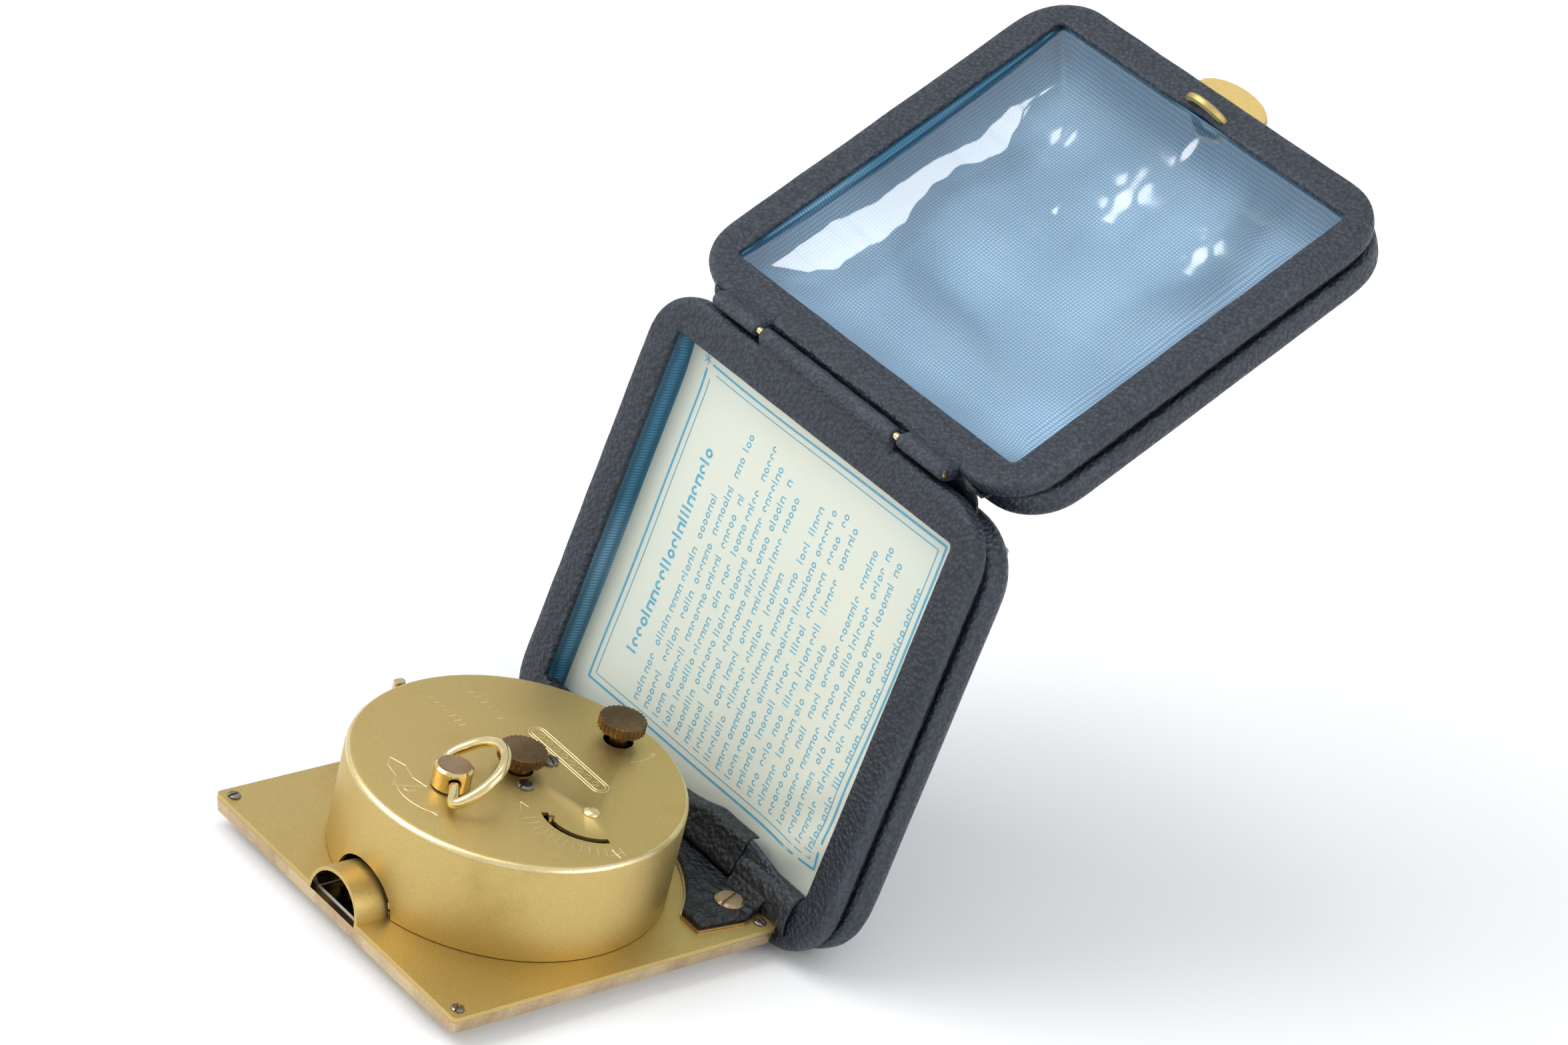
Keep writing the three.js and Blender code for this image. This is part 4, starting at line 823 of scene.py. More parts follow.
def shell(name, x, depth, wall=1.2):
    fall = depth + RIM_BACK
    curve = []
    for t in (0.12, 0.3, 0.5, 0.7, 0.88, 1):
        bow = 2 * t * (1 - t)
        curve.append((bow * fall * 0.62 + t * t * fall * 1.1,
                      RIM_BACK - 0.1 - bow * fall * 0.86 - t * t * (fall - 0.1)))
    outside = [(wall + 0.5, RIM_TOP - 0.25), (0.7, RIM_TOP), (0.2, RIM_TOP - 0.35), (0, RIM_TOP - 1.1),
               (0, RIM_TOP - 2.6), (0, RIM_BACK)] + curve
    outside += [(curve[-1][0] + 5, -depth - 0.02), (curve[-1][0] + 14, -depth)]
    inside = [(inset + wall, z + wall * 0.9) for inset, z in reversed(outside[6:])]
    inside += [(wall, RIM_BACK), (wall + 0.3, RIM_TOP - 0.9)]
    vertices = []
    wear = []
    rings = []
    for position, (inset, z) in enumerate(outside + inside):
        radius = max(CASE_CORNER - inset * 0.32, 4)
        outline = rounded_outline((x[0] + inset, x[1] - inset), (-CASE_HALF + inset, CASE_HALF - inset),
                                  radius, side_steps=14, corner_steps=6)
        ring = []
        for point in outline:
            swell = noise.noise(Vector((point.x, point.y, z)) * 0.12) * 0.12
            ring.append(len(vertices))
            vertices.append(Vector((point.x, point.y, z + (swell if z < RIM_BACK else 0))))
            wear.append((0.8 if 1 <= position <= 3 else 0.25 if position < 6 else 0.12)
                        * (0.7 + 0.6 * noise.noise(point * 0.2)))
        rings.append(ring)
    faces = []
    for ring, following in zip(rings, rings[1:] + rings[:1]):
        if ring is rings[len(outside) - 1]:
            faces.append(tuple(reversed(ring)))
            faces.append(tuple(following))
            continue
        faces.extend(band(ring, following))
    piece = new_object(name, vertices, faces)
    set_wear(piece, wear)
    smoothed(piece)
    piece.data.materials.append(case_leather)
    return piece


placed(shell("rear_shell_leather", (REAR_X[0], 70.1), depth=21.6), rear_axes, "rear_cover", "leather",
       "rear_shell")
placed(shell("lid_shell_leather", (5.2, LID_X[1]), depth=13.4), lid_axes, "lid", "leather", "lid_shell")


# Groove cores: the dark strip seen between rim and frame, set in from the case's edge.
CORE_TOP = -3.2
CORE_BACK = -5.9
CORE_SIDES = [(1.3, 8.4), (2.2, 7.6)]


def core(name, x, axes, body):
    outer, inner = [rounded_outline((x[0] + inset, x[1] - inset), (-CASE_HALF + inset, CASE_HALF - inset),
                                    radius, side_steps=10, corner_steps=5) for inset, radius in CORE_SIDES]
    levels = [(outer, CORE_TOP), (outer, CORE_BACK), (inner, CORE_BACK), (inner, CORE_TOP)]
    vertices = [Vector((p.x, p.y, z)) for outline, z in levels for p in outline]
    rings = [range(level * len(outer), (level + 1) * len(outer)) for level in range(len(levels))]
    faces = [face for ring, following in zip(rings, rings[1:] + rings[:1]) for face in band(ring, following)]
    piece = new_object(name, vertices, faces)
    piece.data.materials.append(hinge_leather)
    return placed(piece, axes, body, "leather")


core("rear_groove_core", (REAR_X[0], 71.5), rear_axes, "rear_cover")
core("lid_groove_core", (3.6, LID_X[1]), lid_axes, "lid")


# Satin lining: light-blue ribbed taffeta, glued in as a shallow tray and creased where it goes
# round the corners. Its threads follow the cloth, so the pattern is laid out on its flat cut. The
# cloth is darkened by painted shade towards its walls, corners and creases and across the panel.
def satin(name, light, painted_shade_colour, rib):
    material = bpy.data.materials.new(name)
    material.use_nodes = True
    tree = material.node_tree
    tree.nodes.clear()
    cut = tree.nodes.new("ShaderNodeUVMap")
    cut.label = "millimetres on the cut cloth"
    cut.location = (-1600, 0)
    cut.uv_map = "cut"
    warp = tree.nodes.new("ShaderNodeTexWave")
    warp.label = "warp threads"
    warp.location = (-1300, 220)
    warp.bands_direction = "X"
    warp.inputs["Scale"].default_value = rib
    warp.inputs["Distortion"].default_value = 0.6
    warp.inputs["Detail Scale"].default_value = 0.3
    weft = tree.nodes.new("ShaderNodeTexWave")
    weft.label = "weft ribs"
    weft.location = (-1300, -80)
    weft.bands_direction = "Y"
    weft.inputs["Scale"].default_value = rib * 0.86
    weft.inputs["Distortion"].default_value = 0.6
    weft.inputs["Detail Scale"].default_value = 0.3
    weave = tree.nodes.new("ShaderNodeMath")
    weave.label = "threads crossing"
    weave.location = (-1020, 80)
    weave.operation = "MULTIPLY"
    # The fold attribute mixes in painted shade: darker towards the walls, corners, creases and far side.
    shade = tree.nodes.new("ShaderNodeAttribute")
    shade.label = "painted shade towards walls, corners, creases and far side"
    shade.location = (-1020, -160)
    shade.attribute_name = "fold"
    body = tree.nodes.new("ShaderNodeMix")
    body.label = "cloth colour and painted shade colour"
    body.location = (-700, 120)
    body.data_type = "RGBA"
    body.inputs["A"].default_value = (*light, 1)
    body.inputs["B"].default_value = (*painted_shade_colour, 1)
    threads = tree.nodes.new("ShaderNodeMapRange")
    threads.label = "dark between the threads"
    threads.location = (-700, -120)
    threads.inputs["From Max"].default_value = 0.6
    threads.inputs["To Min"].default_value = 0.5
    threads.inputs["To Max"].default_value = 1.2
    dyed = tree.nodes.new("ShaderNodeVectorMath")
    dyed.label = "cloth with its threads"
    dyed.location = (-420, 60)
    dyed.operation = "SCALE"
    relief = tree.nodes.new("ShaderNodeBump")
    relief.label = "height of the ribs"
    relief.location = (-420, -220)
    relief.inputs["Strength"].default_value = 0.6
    relief.inputs["Distance"].default_value = 0.08 * MM
    shader = tree.nodes.new("ShaderNodeBsdfPrincipled")
    shader.label = name
    shader.location = (-120, 40)
    shader.inputs["Roughness"].default_value = 0.48
    shader.inputs["Specular IOR Level"].default_value = 0.5
    shader.inputs["Sheen Weight"].default_value = 0.12
    shader.inputs["Sheen Roughness"].default_value = 0.4
    shader.inputs["Sheen Tint"].default_value = (0.75, 0.88, 1, 1)
    output = tree.nodes.new("ShaderNodeOutputMaterial")
    output.location = (200, 40)
    weave_group = tree.nodes.new("NodeFrame")
    weave_group.label = "weave"
    for node in (warp, weft, weave, threads, relief):
        node.parent = weave_group
    dye_group = tree.nodes.new("NodeFrame")
    dye_group.label = "dye"
    for node in (shade, body, dyed):
        node.parent = dye_group
    links = tree.links
    for texture in (warp, weft):
        links.new(cut.outputs["UV"], texture.inputs["Vector"])
    links.new(warp.outputs["Fac"], weave.inputs[0])
    links.new(weft.outputs["Fac"], weave.inputs[1])
    links.new(weave.outputs["Value"], threads.inputs["Value"])
    links.new(shade.outputs["Fac"], body.inputs["Factor"])
    links.new(body.outputs["Result"], dyed.inputs[0])
    links.new(threads.outputs["Result"], dyed.inputs["Scale"])
    links.new(weave.outputs["Value"], relief.inputs["Height"])
    links.new(dyed.outputs["Vector"], shader.inputs["Base Color"])
    links.new(relief.outputs["Normal"], shader.inputs["Normal"])
    links.new(shader.outputs["BSDF"], output.inputs["Surface"])
    return material


# The second colour is the painted shade of the cloth.
lining_satin = satin("lining_satin", (0.4, 0.7, 0.95), (0.03, 0.19, 0.33), 0.62)
LINING_STEPS = 110
LINING_RIM = -1.35
FOLDS_FROM = (16, -26)
CORNER_REACH = 9


def grid_faces(steps):
    corners = [i * (steps + 1) + j for i in range(steps) for j in range(steps)]
    return [(a, a + steps + 1, a + steps + 2, a + 1) for a in corners]


def lining(name, x, depth, wall, folds, seed):
    half = WINDOW_HALF + 0.35
    vertices = []
    cuts = []
    painted_shade_amounts = []
    for i in range(LINING_STEPS + 1):
        for j in range(LINING_STEPS + 1):
            s, t = i / LINING_STEPS, j / LINING_STEPS
            px = x[0] + (x[1] - x[0]) * (s - 0.06 * math.sin(2 * math.pi * s) / 2)
            py = -half + 2 * half * (t - 0.06 * math.sin(2 * math.pi * t) / 2)
            edge = min(px - x[0], x[1] - px, py + half, half - py)
            near = max(0, 1 - edge / wall)
            corner = min(1, max(0, 1 - min(px - x[0], x[1] - px) / CORNER_REACH))
            corner *= min(1, max(0, 1 - (half - abs(py)) / CORNER_REACH))
            sink = depth * (1 - near ** 2.4)
            angle = math.atan2(py - FOLDS_FROM[1], px - FOLDS_FROM[0])
            rays = math.sin(angle * folds + 2.2 * noise.noise(Vector((px, py, seed)) * 0.045))
            reach = math.hypot(px - FOLDS_FROM[0], py - FOLDS_FROM[1])
            crease = max(0, rays) ** 3 * min(1, max(0, (reach - 14) / 26)) * min(1, edge / 6)
            pleat = math.sin((px - py) * 1.1 + seed) * corner * 0.5
            ripple = noise.noise(Vector((px, py, seed)) * 0.09) * 0.5 * min(1, edge / 5)
            z = LINING_RIM - sink + crease * 1.3 + pleat + ripple
            vertices.append(Vector((px, py, z)))
            cuts.append((px, py + near * 4))
            # Painted shade: darker across the panel, towards the walls, in the corners and on the creases,
            # with a little random tone.
            away = 0.34 * (px - x[0]) / (x[1] - x[0]) + 0.2 * (0.5 + py / half / 2)
            painted_shade_amounts.append(min(1, max(0, away + near * 0.55 + corner * 0.4 + 0.4 * crease
                                          - 0.4 * noise.noise(Vector((px, py, 1)) * 0.06))))
    mesh = bpy.data.meshes.new(name)
    mesh.from_pydata([tuple(v) for v in vertices], [], grid_faces(LINING_STEPS))
    uv = mesh.uv_layers.new(name="cut")
    uv.data.foreach_set("uv", [c for loop in mesh.loops for c in cuts[loop.vertex_index]])
    fold = mesh.attributes.new("fold", "FLOAT", "POINT")
    fold.data.foreach_set("value", painted_shade_amounts)
    mesh.polygons.foreach_set("use_smooth", [True] * len(mesh.polygons))
    piece = bpy.data.objects.new(name, mesh)
    bpy.context.collection.objects.link(piece)
    piece.data.materials.append(lining_satin)
    thickness = piece.modifiers.new("cloth_thickness", "SOLIDIFY")
    thickness.thickness = 0.25 * MM
    thickness.offset = -1
    return piece


rear_lining = lining("rear_lining_satin", (0.6, 66.8), depth=17.3, wall=5, folds=3, seed=5)
placed(rear_lining, rear_axes, "rear_cover", "satin", "rear_lining")
lid_lining = lining("lid_lining_satin", (8.1, 75.7), depth=6.6, wall=9, folds=7, seed=2)
placed(lid_lining, lid_axes, "lid", "satin", "lid_lining")

# Clear film over the lid's lining: thin cellulose, wrinkled and slack, mirror-bright on its folds.
film_material = bpy.data.materials.new("clear_film")
film_material.use_nodes = True
film_tree = film_material.node_tree
film_tree.nodes.clear()
facing = film_tree.nodes.new("ShaderNodeLayerWeight")
facing.label = "more mirror at a slant"
facing.location = (-700, 0)
facing.inputs["Blend"].default_value = 0.35
mirror = film_tree.nodes.new("ShaderNodeMapRange")
mirror.label = "share that mirrors"
mirror.location = (-480, 0)
mirror.inputs["To Min"].default_value = 0.12
mirror.inputs["To Max"].default_value = 0.75
film_shader = film_tree.nodes.new("ShaderNodeBsdfPrincipled")
film_shader.label = "clear film"
film_shader.location = (-200, 0)
film_shader.inputs["Metallic"].default_value = 1
film_shader.inputs["Base Color"].default_value = (0.96, 0.97, 1, 1)
film_shader.inputs["Roughness"].default_value = 0.12
film_output = film_tree.nodes.new("ShaderNodeOutputMaterial")
film_output.location = (120, 0)
mirror_group = film_tree.nodes.new("NodeFrame")
mirror_group.label = "mirroring"
for node in (facing, mirror):
    node.parent = mirror_group
film_tree.links.new(facing.outputs["Fresnel"], mirror.inputs["Value"])
film_tree.links.new(mirror.outputs["Result"], film_shader.inputs["Alpha"])
film_tree.links.new(film_shader.outputs["BSDF"], film_output.inputs["Surface"])
FILM_STEPS = 170
FILM_X = (8.3, 75.5)
FILM_HALF = WINDOW_HALF - 0.1
FILM_RIM = -1.5
FILM_HIGHEST = -1.2
# One long fold lies along the left wall, and each spot is a small fold: place, length and breadth.
FILM_TILT = 0.22
FILM_SPOTS = [(57.5, -2.3, 8, 2.3), (56, -20.6, 7, 2.2), (60, 14.8, 3.4, 1.4), (70, -3.2, 4, 1),
              (48, 4, 3, 0.9)]
film_vertices = []
for i in range(FILM_STEPS + 1):
    for j in range(FILM_STEPS + 1):
        px = FILM_X[0] + (FILM_X[1] - FILM_X[0]) * i / FILM_STEPS
        py = (-1 + 2 * j / FILM_STEPS) * FILM_HALF
        near_wall = WINDOW_HALF - py
        wander = 1.6 * noise.noise(Vector((px * 0.11, 3, 8))) + 0.3 * noise.noise(Vector((px * 0.4, 5, 2)))
        swelling = math.exp(-((px - 24) / 17) ** 2) + 0.55 * math.exp(-((px - 52) / 8) ** 2)
        start = 4.2 + 0.07 * (px - 8) + wander
        wide = 0.4 + 7 * swelling + 1.4 * noise.noise(Vector((px * 0.25, 1, 4)))
        wide *= min(1, max(0, (px - 10) / 4)) * min(1, max(0, (70 - px) / 6))
        z = FILM_RIM - FILM_TILT * min(max(near_wall - start, 0), max(wide, 0))
        edge = min(px - FILM_X[0], FILM_X[1] - px, FILM_HALF + py)
        z -= 1.1 * (1 - math.exp(-edge / 14))
        for spot_x, spot_y, long, broad in FILM_SPOTS:
            away_y = py - spot_y - 0.25 * (px - spot_x)
            z += 0.82 * FILM_TILT * broad * math.tanh(away_y / broad) * math.exp(
                -((px - spot_x) / long) ** 2 - (away_y / (5 * broad)) ** 2)
        z += 0.1 * noise.noise(Vector((px * 0.07, py * 0.07, 4.2)))
        z += 0.02 * noise.noise(Vector((px * 0.3, py * 0.3, 2.5)))
        film_vertices.append(Vector((px, py, min(z, FILM_HIGHEST))))


def face_up(piece):
    if piece.data.polygons[0].normal.z < 0:
        piece.data.flip_normals()


lid_film = new_object("lid_film_sheet", film_vertices, grid_faces(FILM_STEPS))
face_up(lid_film)
lid_film.data.materials.append(film_material)
placed(lid_film, lid_axes, "lid", "clear_plastic", "lid_film")

# Directions card: pale card printed in light blue, pushed in behind the frame, its top edge curled.
# The print is a double border, a heading and lines of strokes that stand for words.
card_stock = bpy.data.materials.new("card_stock")
card_stock.use_nodes = True
card_tree = card_stock.node_tree
card_tree.nodes.clear()
card_place = card_tree.nodes.new("ShaderNodeTexCoord")
card_place.label = "place on the object"
card_place.location = (-900, 0)
yellowing = card_tree.nodes.new("ShaderNodeTexNoise")
yellowing.label = "uneven yellowing"
yellowing.location = (-680, 80)
yellowing.inputs["Scale"].default_value = 38
yellowing.inputs["Detail"].default_value = 5
fibre = card_tree.nodes.new("ShaderNodeTexNoise")
fibre.label = "fibre of the card"
fibre.location = (-680, -180)
fibre.inputs["Scale"].default_value = 2600
stock_colour = card_tree.nodes.new("ShaderNodeMix")
stock_colour.label = "pale stock and yellowed stock"
stock_colour.location = (-440, 80)
stock_colour.data_type = "RGBA"
stock_colour.inputs["A"].default_value = (0.63, 0.7, 0.62, 1)
stock_colour.inputs["B"].default_value = (0.7, 0.7, 0.58, 1)
card_relief = card_tree.nodes.new("ShaderNodeBump")
card_relief.label = "tooth of the card"
card_relief.location = (-440, -180)
card_relief.inputs["Strength"].default_value = 0.15
card_relief.inputs["Distance"].default_value = 0.03 * MM
card_shader = card_tree.nodes.new("ShaderNodeBsdfPrincipled")
card_shader.label = "card"
card_shader.location = (-180, 40)
card_shader.inputs["Roughness"].default_value = 0.5
card_output = card_tree.nodes.new("ShaderNodeOutputMaterial")
card_output.location = (120, 40)
stock_group = card_tree.nodes.new("NodeFrame")
stock_group.label = "colour of the stock"
for node in (yellowing, stock_colour):
    node.parent = stock_group
tooth_group = card_tree.nodes.new("NodeFrame")
tooth_group.label = "tooth of the stock"
for node in (fibre, card_relief):
    node.parent = tooth_group
card_tree.links.new(card_place.outputs["Object"], yellowing.inputs["Vector"])
card_tree.links.new(card_place.outputs["Object"], fibre.inputs["Vector"])
card_tree.links.new(yellowing.outputs["Fac"], stock_colour.inputs["Factor"])
card_tree.links.new(fibre.outputs["Fac"], card_relief.inputs["Height"])
card_tree.links.new(stock_colour.outputs["Result"], card_shader.inputs["Base Color"])
card_tree.links.new(card_relief.outputs["Normal"], card_shader.inputs["Normal"])
card_tree.links.new(card_shader.outputs["BSDF"], card_output.inputs["Surface"])
print_ink = bpy.data.materials.new("print_ink")
print_ink.use_nodes = True
ink_tree = print_ink.node_tree
ink_tree.nodes.clear()
ink_place = ink_tree.nodes.new("ShaderNodeTexCoord")
ink_place.label = "place on the object"
ink_place.location = (-700, 0)
ink_wear = ink_tree.nodes.new("ShaderNodeTexNoise")
ink_wear.label = "uneven inking"
ink_wear.location = (-500, 0)
ink_wear.inputs["Scale"].default_value = 900
ink_colour = ink_tree.nodes.new("ShaderNodeMix")
ink_colour.label = "full and thin ink"
ink_colour.location = (-260, 0)
ink_colour.data_type = "RGBA"
ink_colour.inputs["A"].default_value = (0.05, 0.3, 0.48, 1)
ink_colour.inputs["B"].default_value = (0.16, 0.48, 0.64, 1)
ink_shader = ink_tree.nodes.new("ShaderNodeBsdfPrincipled")
ink_shader.label = "light-blue ink"
ink_shader.location = (0, 0)
ink_shader.inputs["Roughness"].default_value = 0.55
ink_output = ink_tree.nodes.new("ShaderNodeOutputMaterial")
ink_output.location = (300, 0)
ink_group = ink_tree.nodes.new("NodeFrame")
ink_group.label = "inking"
for node in (ink_wear, ink_colour):
    node.parent = ink_group
ink_tree.links.new(ink_place.outputs["Object"], ink_wear.inputs["Vector"])
ink_tree.links.new(ink_wear.outputs["Fac"], ink_colour.inputs["Factor"])
ink_tree.links.new(ink_colour.outputs["Result"], ink_shader.inputs["Base Color"])
ink_tree.links.new(ink_shader.outputs["BSDF"], ink_output.inputs["Surface"])

CARD_X = (1.2, 67.6)
CARD_HALF = 33.3
CARD_Z = -5.6
CARD_STEPS = 90


def card_height(x, y):
    curl = min(1, max(0, (x - 57) / 10)) ** 2 * (2.6 * math.exp(-((y - 12) / 17) ** 2) + 0.5)
    lift = 0.7 * math.exp(-(((y + 24) / 8) ** 2 + ((x - 14) / 13) ** 2))
    wrinkle = 0.35 * math.sin(x * 0.5 + y * 0.35) * math.exp(-(((y + 26) / 9) ** 2 + ((x - 9) / 9) ** 2))
    sag = 0.35 * noise.noise(Vector((x, y, 3)) * 0.045)
    return CARD_Z + curl + lift + wrinkle + sag


card_points = [(CARD_X[0] + (CARD_X[1] - CARD_X[0]) * i / CARD_STEPS, CARD_HALF * (-1 + 2 * j / CARD_STEPS))
               for i in range(CARD_STEPS + 1) for j in range(CARD_STEPS + 1)]
card_vertices = [Vector((x, y, card_height(x, y))) for x, y in card_points]
card = new_object("direction_card_paper", card_vertices, grid_faces(CARD_STEPS))
face_up(card)
card.data.materials.append(card_stock)
card_thickness = card.modifiers.new("card_thickness", "SOLIDIFY")
card_thickness.thickness = 0.22 * MM
card_thickness.offset = -1
placed(card, rear_axes, "rear_cover", "card", "direction_card")

INK_LIFT = 0.035
print_vertices = []
print_faces = []


def ink_line(x0, y0, x1, y1, width):
    length = math.hypot(x1 - x0, y1 - y0)
    steps = max(1, int(length / 2.5))
    across = Vector((-(y1 - y0) / length, (x1 - x0) / length, 0)) * width / 2
    for step in range(steps + 1):
        share = step / steps
        x, y = x0 + (x1 - x0) * share, y0 + (y1 - y0) * share
        for side in (1, -1):
            px, py = x + across.x * side, y + across.y * side
            print_vertices.append(Vector((px, py, card_height(px, py) + INK_LIFT)))
        if step:
            a = len(print_vertices) - 4
            print_faces.append((a, a + 1, a + 3, a + 2))


def word_strokes(x0, y, length, height, weight):
    x = x0
    while x < x0 + length - 0.5:
        form = random.random()
        wide = (0.15 if form < 0.25 else 0.55) * height
        if form < 0.25:
            ink_line(x, y, x, y - height, weight)
        elif form < 0.75:
            low_at = y - height * 0.95
            ring = [(x + wide / 2 + wide / 2 * math.cos(math.radians(a)),
                     low_at + height * 0.3 * (1 + math.sin(math.radians(a)))) for a in range(0, 361, 60)]
            for (ax, ay), (bx, by) in zip(ring[:7 if form < 0.5 else 5], ring[1:7 if form < 0.5 else 5]):
                ink_line(ax, ay, bx, by, weight)
        else:
            ink_line(x, y - height * 0.35, x, y - height, weight)
            ink_line(x, y - height * 0.4, x + wide, y - height * 0.4, weight)
            ink_line(x + wide, y - height * 0.35, x + wide, y - height, weight)
        x += wide + 0.3 * height


# The border is a thick and a thin rule with a clipped corner, and a small star marks that corner.
BORDER = (6.4, 63.4, 28.6)
for inset, width in ((0, 0.4), (1.25, 0.17)):
    low, high, half = BORDER[0] + inset, BORDER[1] - inset, BORDER[2] - inset
    ink_line(low, half, high - 1.2, half, width)
    ink_line(high, half - 1.2, high, -half, width)
    ink_line(high, -half, low, -half, width)
    ink_line(low, -half, low, half, width)
for turn in range(3):
    angle = math.radians(60 * turn + 15)
    dx, dy = 0.95 * math.cos(angle), 0.95 * math.sin(angle)
    ink_line(BORDER[1] + 0.3 - dx, BORDER[2] + 0.2 - dy, BORDER[1] + 0.3 + dx, BORDER[2] + 0.2 + dy, 0.16)
random.seed(21)
word_strokes(15, 23.4, length=36, height=2.2, weight=0.4)
LINE_PITCH = 2.62
SHORT_LINES = (0, 2, 4, 7, 12, 16)
for line in range(18):
    y = 18.6 - LINE_PITCH * line
    x = 8.8
    end = 58 - (random.uniform(0, 24) if line in SHORT_LINES else random.uniform(0, 4))
    while x < end:
        word = random.uniform(3, 9)
        word_strokes(x, y, min(word, end - x + 1), 1.45, 0.19)
        x += word + 1.2
card_print = new_object("direction_card_print", print_vertices, print_faces, smooth=False)
face_up(card_print)
card_print.data.materials.append(print_ink)
placed(card_print, rear_axes, "rear_cover", "card")
for pushed in (card, card_print):
    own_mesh(pushed)


# Knuckles of the case hinge: leather turned round the hinge tube, one long one on the rear cover
# and a short one at each end of the lid's edge.
def knuckle(name, flange, x_sign, y0, y1, radius, seed):
    round_side = [(-3.2, -0.28), (-1.9, 0.2), (-0.95, 0.95), (0, 1.3), (0.92, 0.95), (1.3, 0), (0.95, -0.95),
                  (0.2, -1.9), (-1.5, -3), (-3, -3.5)]
    profile = [(flange, -0.5)] + [(x * x_sign, z) for x, z in round_side] + [(flange, -3.7)]
    steps = max(8, int(abs(y1 - y0) / 0.8))
    vertices = []
    wear = []
    for step in range(steps + 1):
        share = step / steps
        y = y0 + (y1 - y0) * share
        draw = 0.94 if step in (0, steps) else 1
        for x, z in profile:
            bump = 0.14 * noise.noise(Vector((x + seed, y, z)) * 0.7)
            bump += 0.06 * noise.noise(Vector((x, y, z)) * 2)
            vertices.append(Vector((x * (draw if abs(x) < radius + 0.2 else 1), y, z * draw + bump)))
            wear.append((0.75 if z > 0.6 else 0.3) + 0.3 * noise.noise(Vector((x, y, z)) * 0.5))
    rings = [range(step * len(profile), (step + 1) * len(profile)) for step in range(steps + 1)]
    faces = [face for ring, following in zip(rings, rings[1:]) for face in band(ring, following)]
    faces.append(tuple(rings[0]))
    faces.append(tuple(reversed(rings[-1])))
    piece = new_object(name, vertices, faces)
    set_wear(piece, wear)
    smoothed(piece)
    piece.data.materials.append(case_leather)
    return piece


SIDES = ((-1, "right"), (1, "left"))
UPPER_HINGE = Matrix.Translation((HINGE_SPAN * MM, 0, 0))
long_knuckle = knuckle("case_hinge_knuckle", -6, 1, -16, 16, 1.95, 2)
placed(long_knuckle, rear_axes @ UPPER_HINGE, "rear_cover", "leather")
for side, label in SIDES:
    short_knuckle = knuckle(f"lid_hinge_knuckle_{label}", 6, -1, side * 16.7, side * 27.6, 1.8, 5)
    placed(short_knuckle, lid_axes, "lid", "leather")


# Spine: a strip of the outer leather joining the two shells behind the hinge, creased by use.
SPINE_HALF = 31.5
SPINE_R = 2.9


def strip_faces(steps, width):
    return [(s * width + a, s * width + a + 1, (s + 1) * width + a + 1, (s + 1) * width + a)
            for s in range(steps) for a in range(width - 1)]


spine_path = [rear_axes @ Vector((x * MM, 0, z * MM)) for x, z in ((66.5, -5.9), (69.5, -5.6), (72.3, -4.6))]
for angle in (math.radians(-110), math.radians(-75)):
    round_pin = Vector((SPINE_R * MM * math.cos(angle), 0, SPINE_R * MM * math.sin(angle)))
    spine_path.append(rear_axes @ UPPER_HINGE @ round_pin)
spine_path += [lid_axes @ Vector((x * MM, 0, z * MM)) for x, z in ((2.8, -4.7), (6, -5.6), (9.5, -5.9))]
SPINE_STEPS = 64
spine_vertices = []
spine_wear = []
for step in range(SPINE_STEPS + 1):
    y = (-SPINE_HALF + 2 * SPINE_HALF * step / SPINE_STEPS) * MM
    for index, at in enumerate(spine_path):
        crease = 0.45 * MM * math.sin(step * 1.35 + index) * (1 if 1 < index < 6 else 0.2)
        jog = 0.3 * MM * noise.noise(Vector((step * 0.4, index, 1)))
        spine_vertices.append(at + Vector((crease * 0.3, y, crease + jog)))
        spine_wear.append(0.5 + 0.5 * noise.noise(Vector((step * 0.3, index * 0.8, 0))))
spine = new_object("spine_leather", spine_vertices, strip_faces(SPINE_STEPS, len(spine_path)))
set_wear(spine, spine_wear)
spine_thickness = spine.modifiers.new("hide_thickness", "SOLIDIFY")
spine_thickness.thickness = 0.7 * MM
smoothed(spine)
spine.data.materials.append(hinge_leather)
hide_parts("leather_spine")
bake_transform(spine)

# Hinge leaf: a brass leaf covered with black leather, two wings round the cover, wrinkled about
# its screw, its brass edge bare on the side towards the cover.
plate_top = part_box("hinge_leaf")[0].z / MM
LEAF_OUTLINE = [(30.7, 26.9), (26.9, 28.2), (18.2, 27.2)]
leaf_edge_arc = [(29.2 * math.cos(math.radians(a)), 29.2 * math.sin(math.radians(a)))
                 for a in range(51, -52, -3)]
leaf_line = LEAF_OUTLINE + leaf_edge_arc + [(x, -y) for x, y in reversed(LEAF_OUTLINE)]
LEAF_SCREWS = [(26.7, 23.9), (26.7, -23.9)]


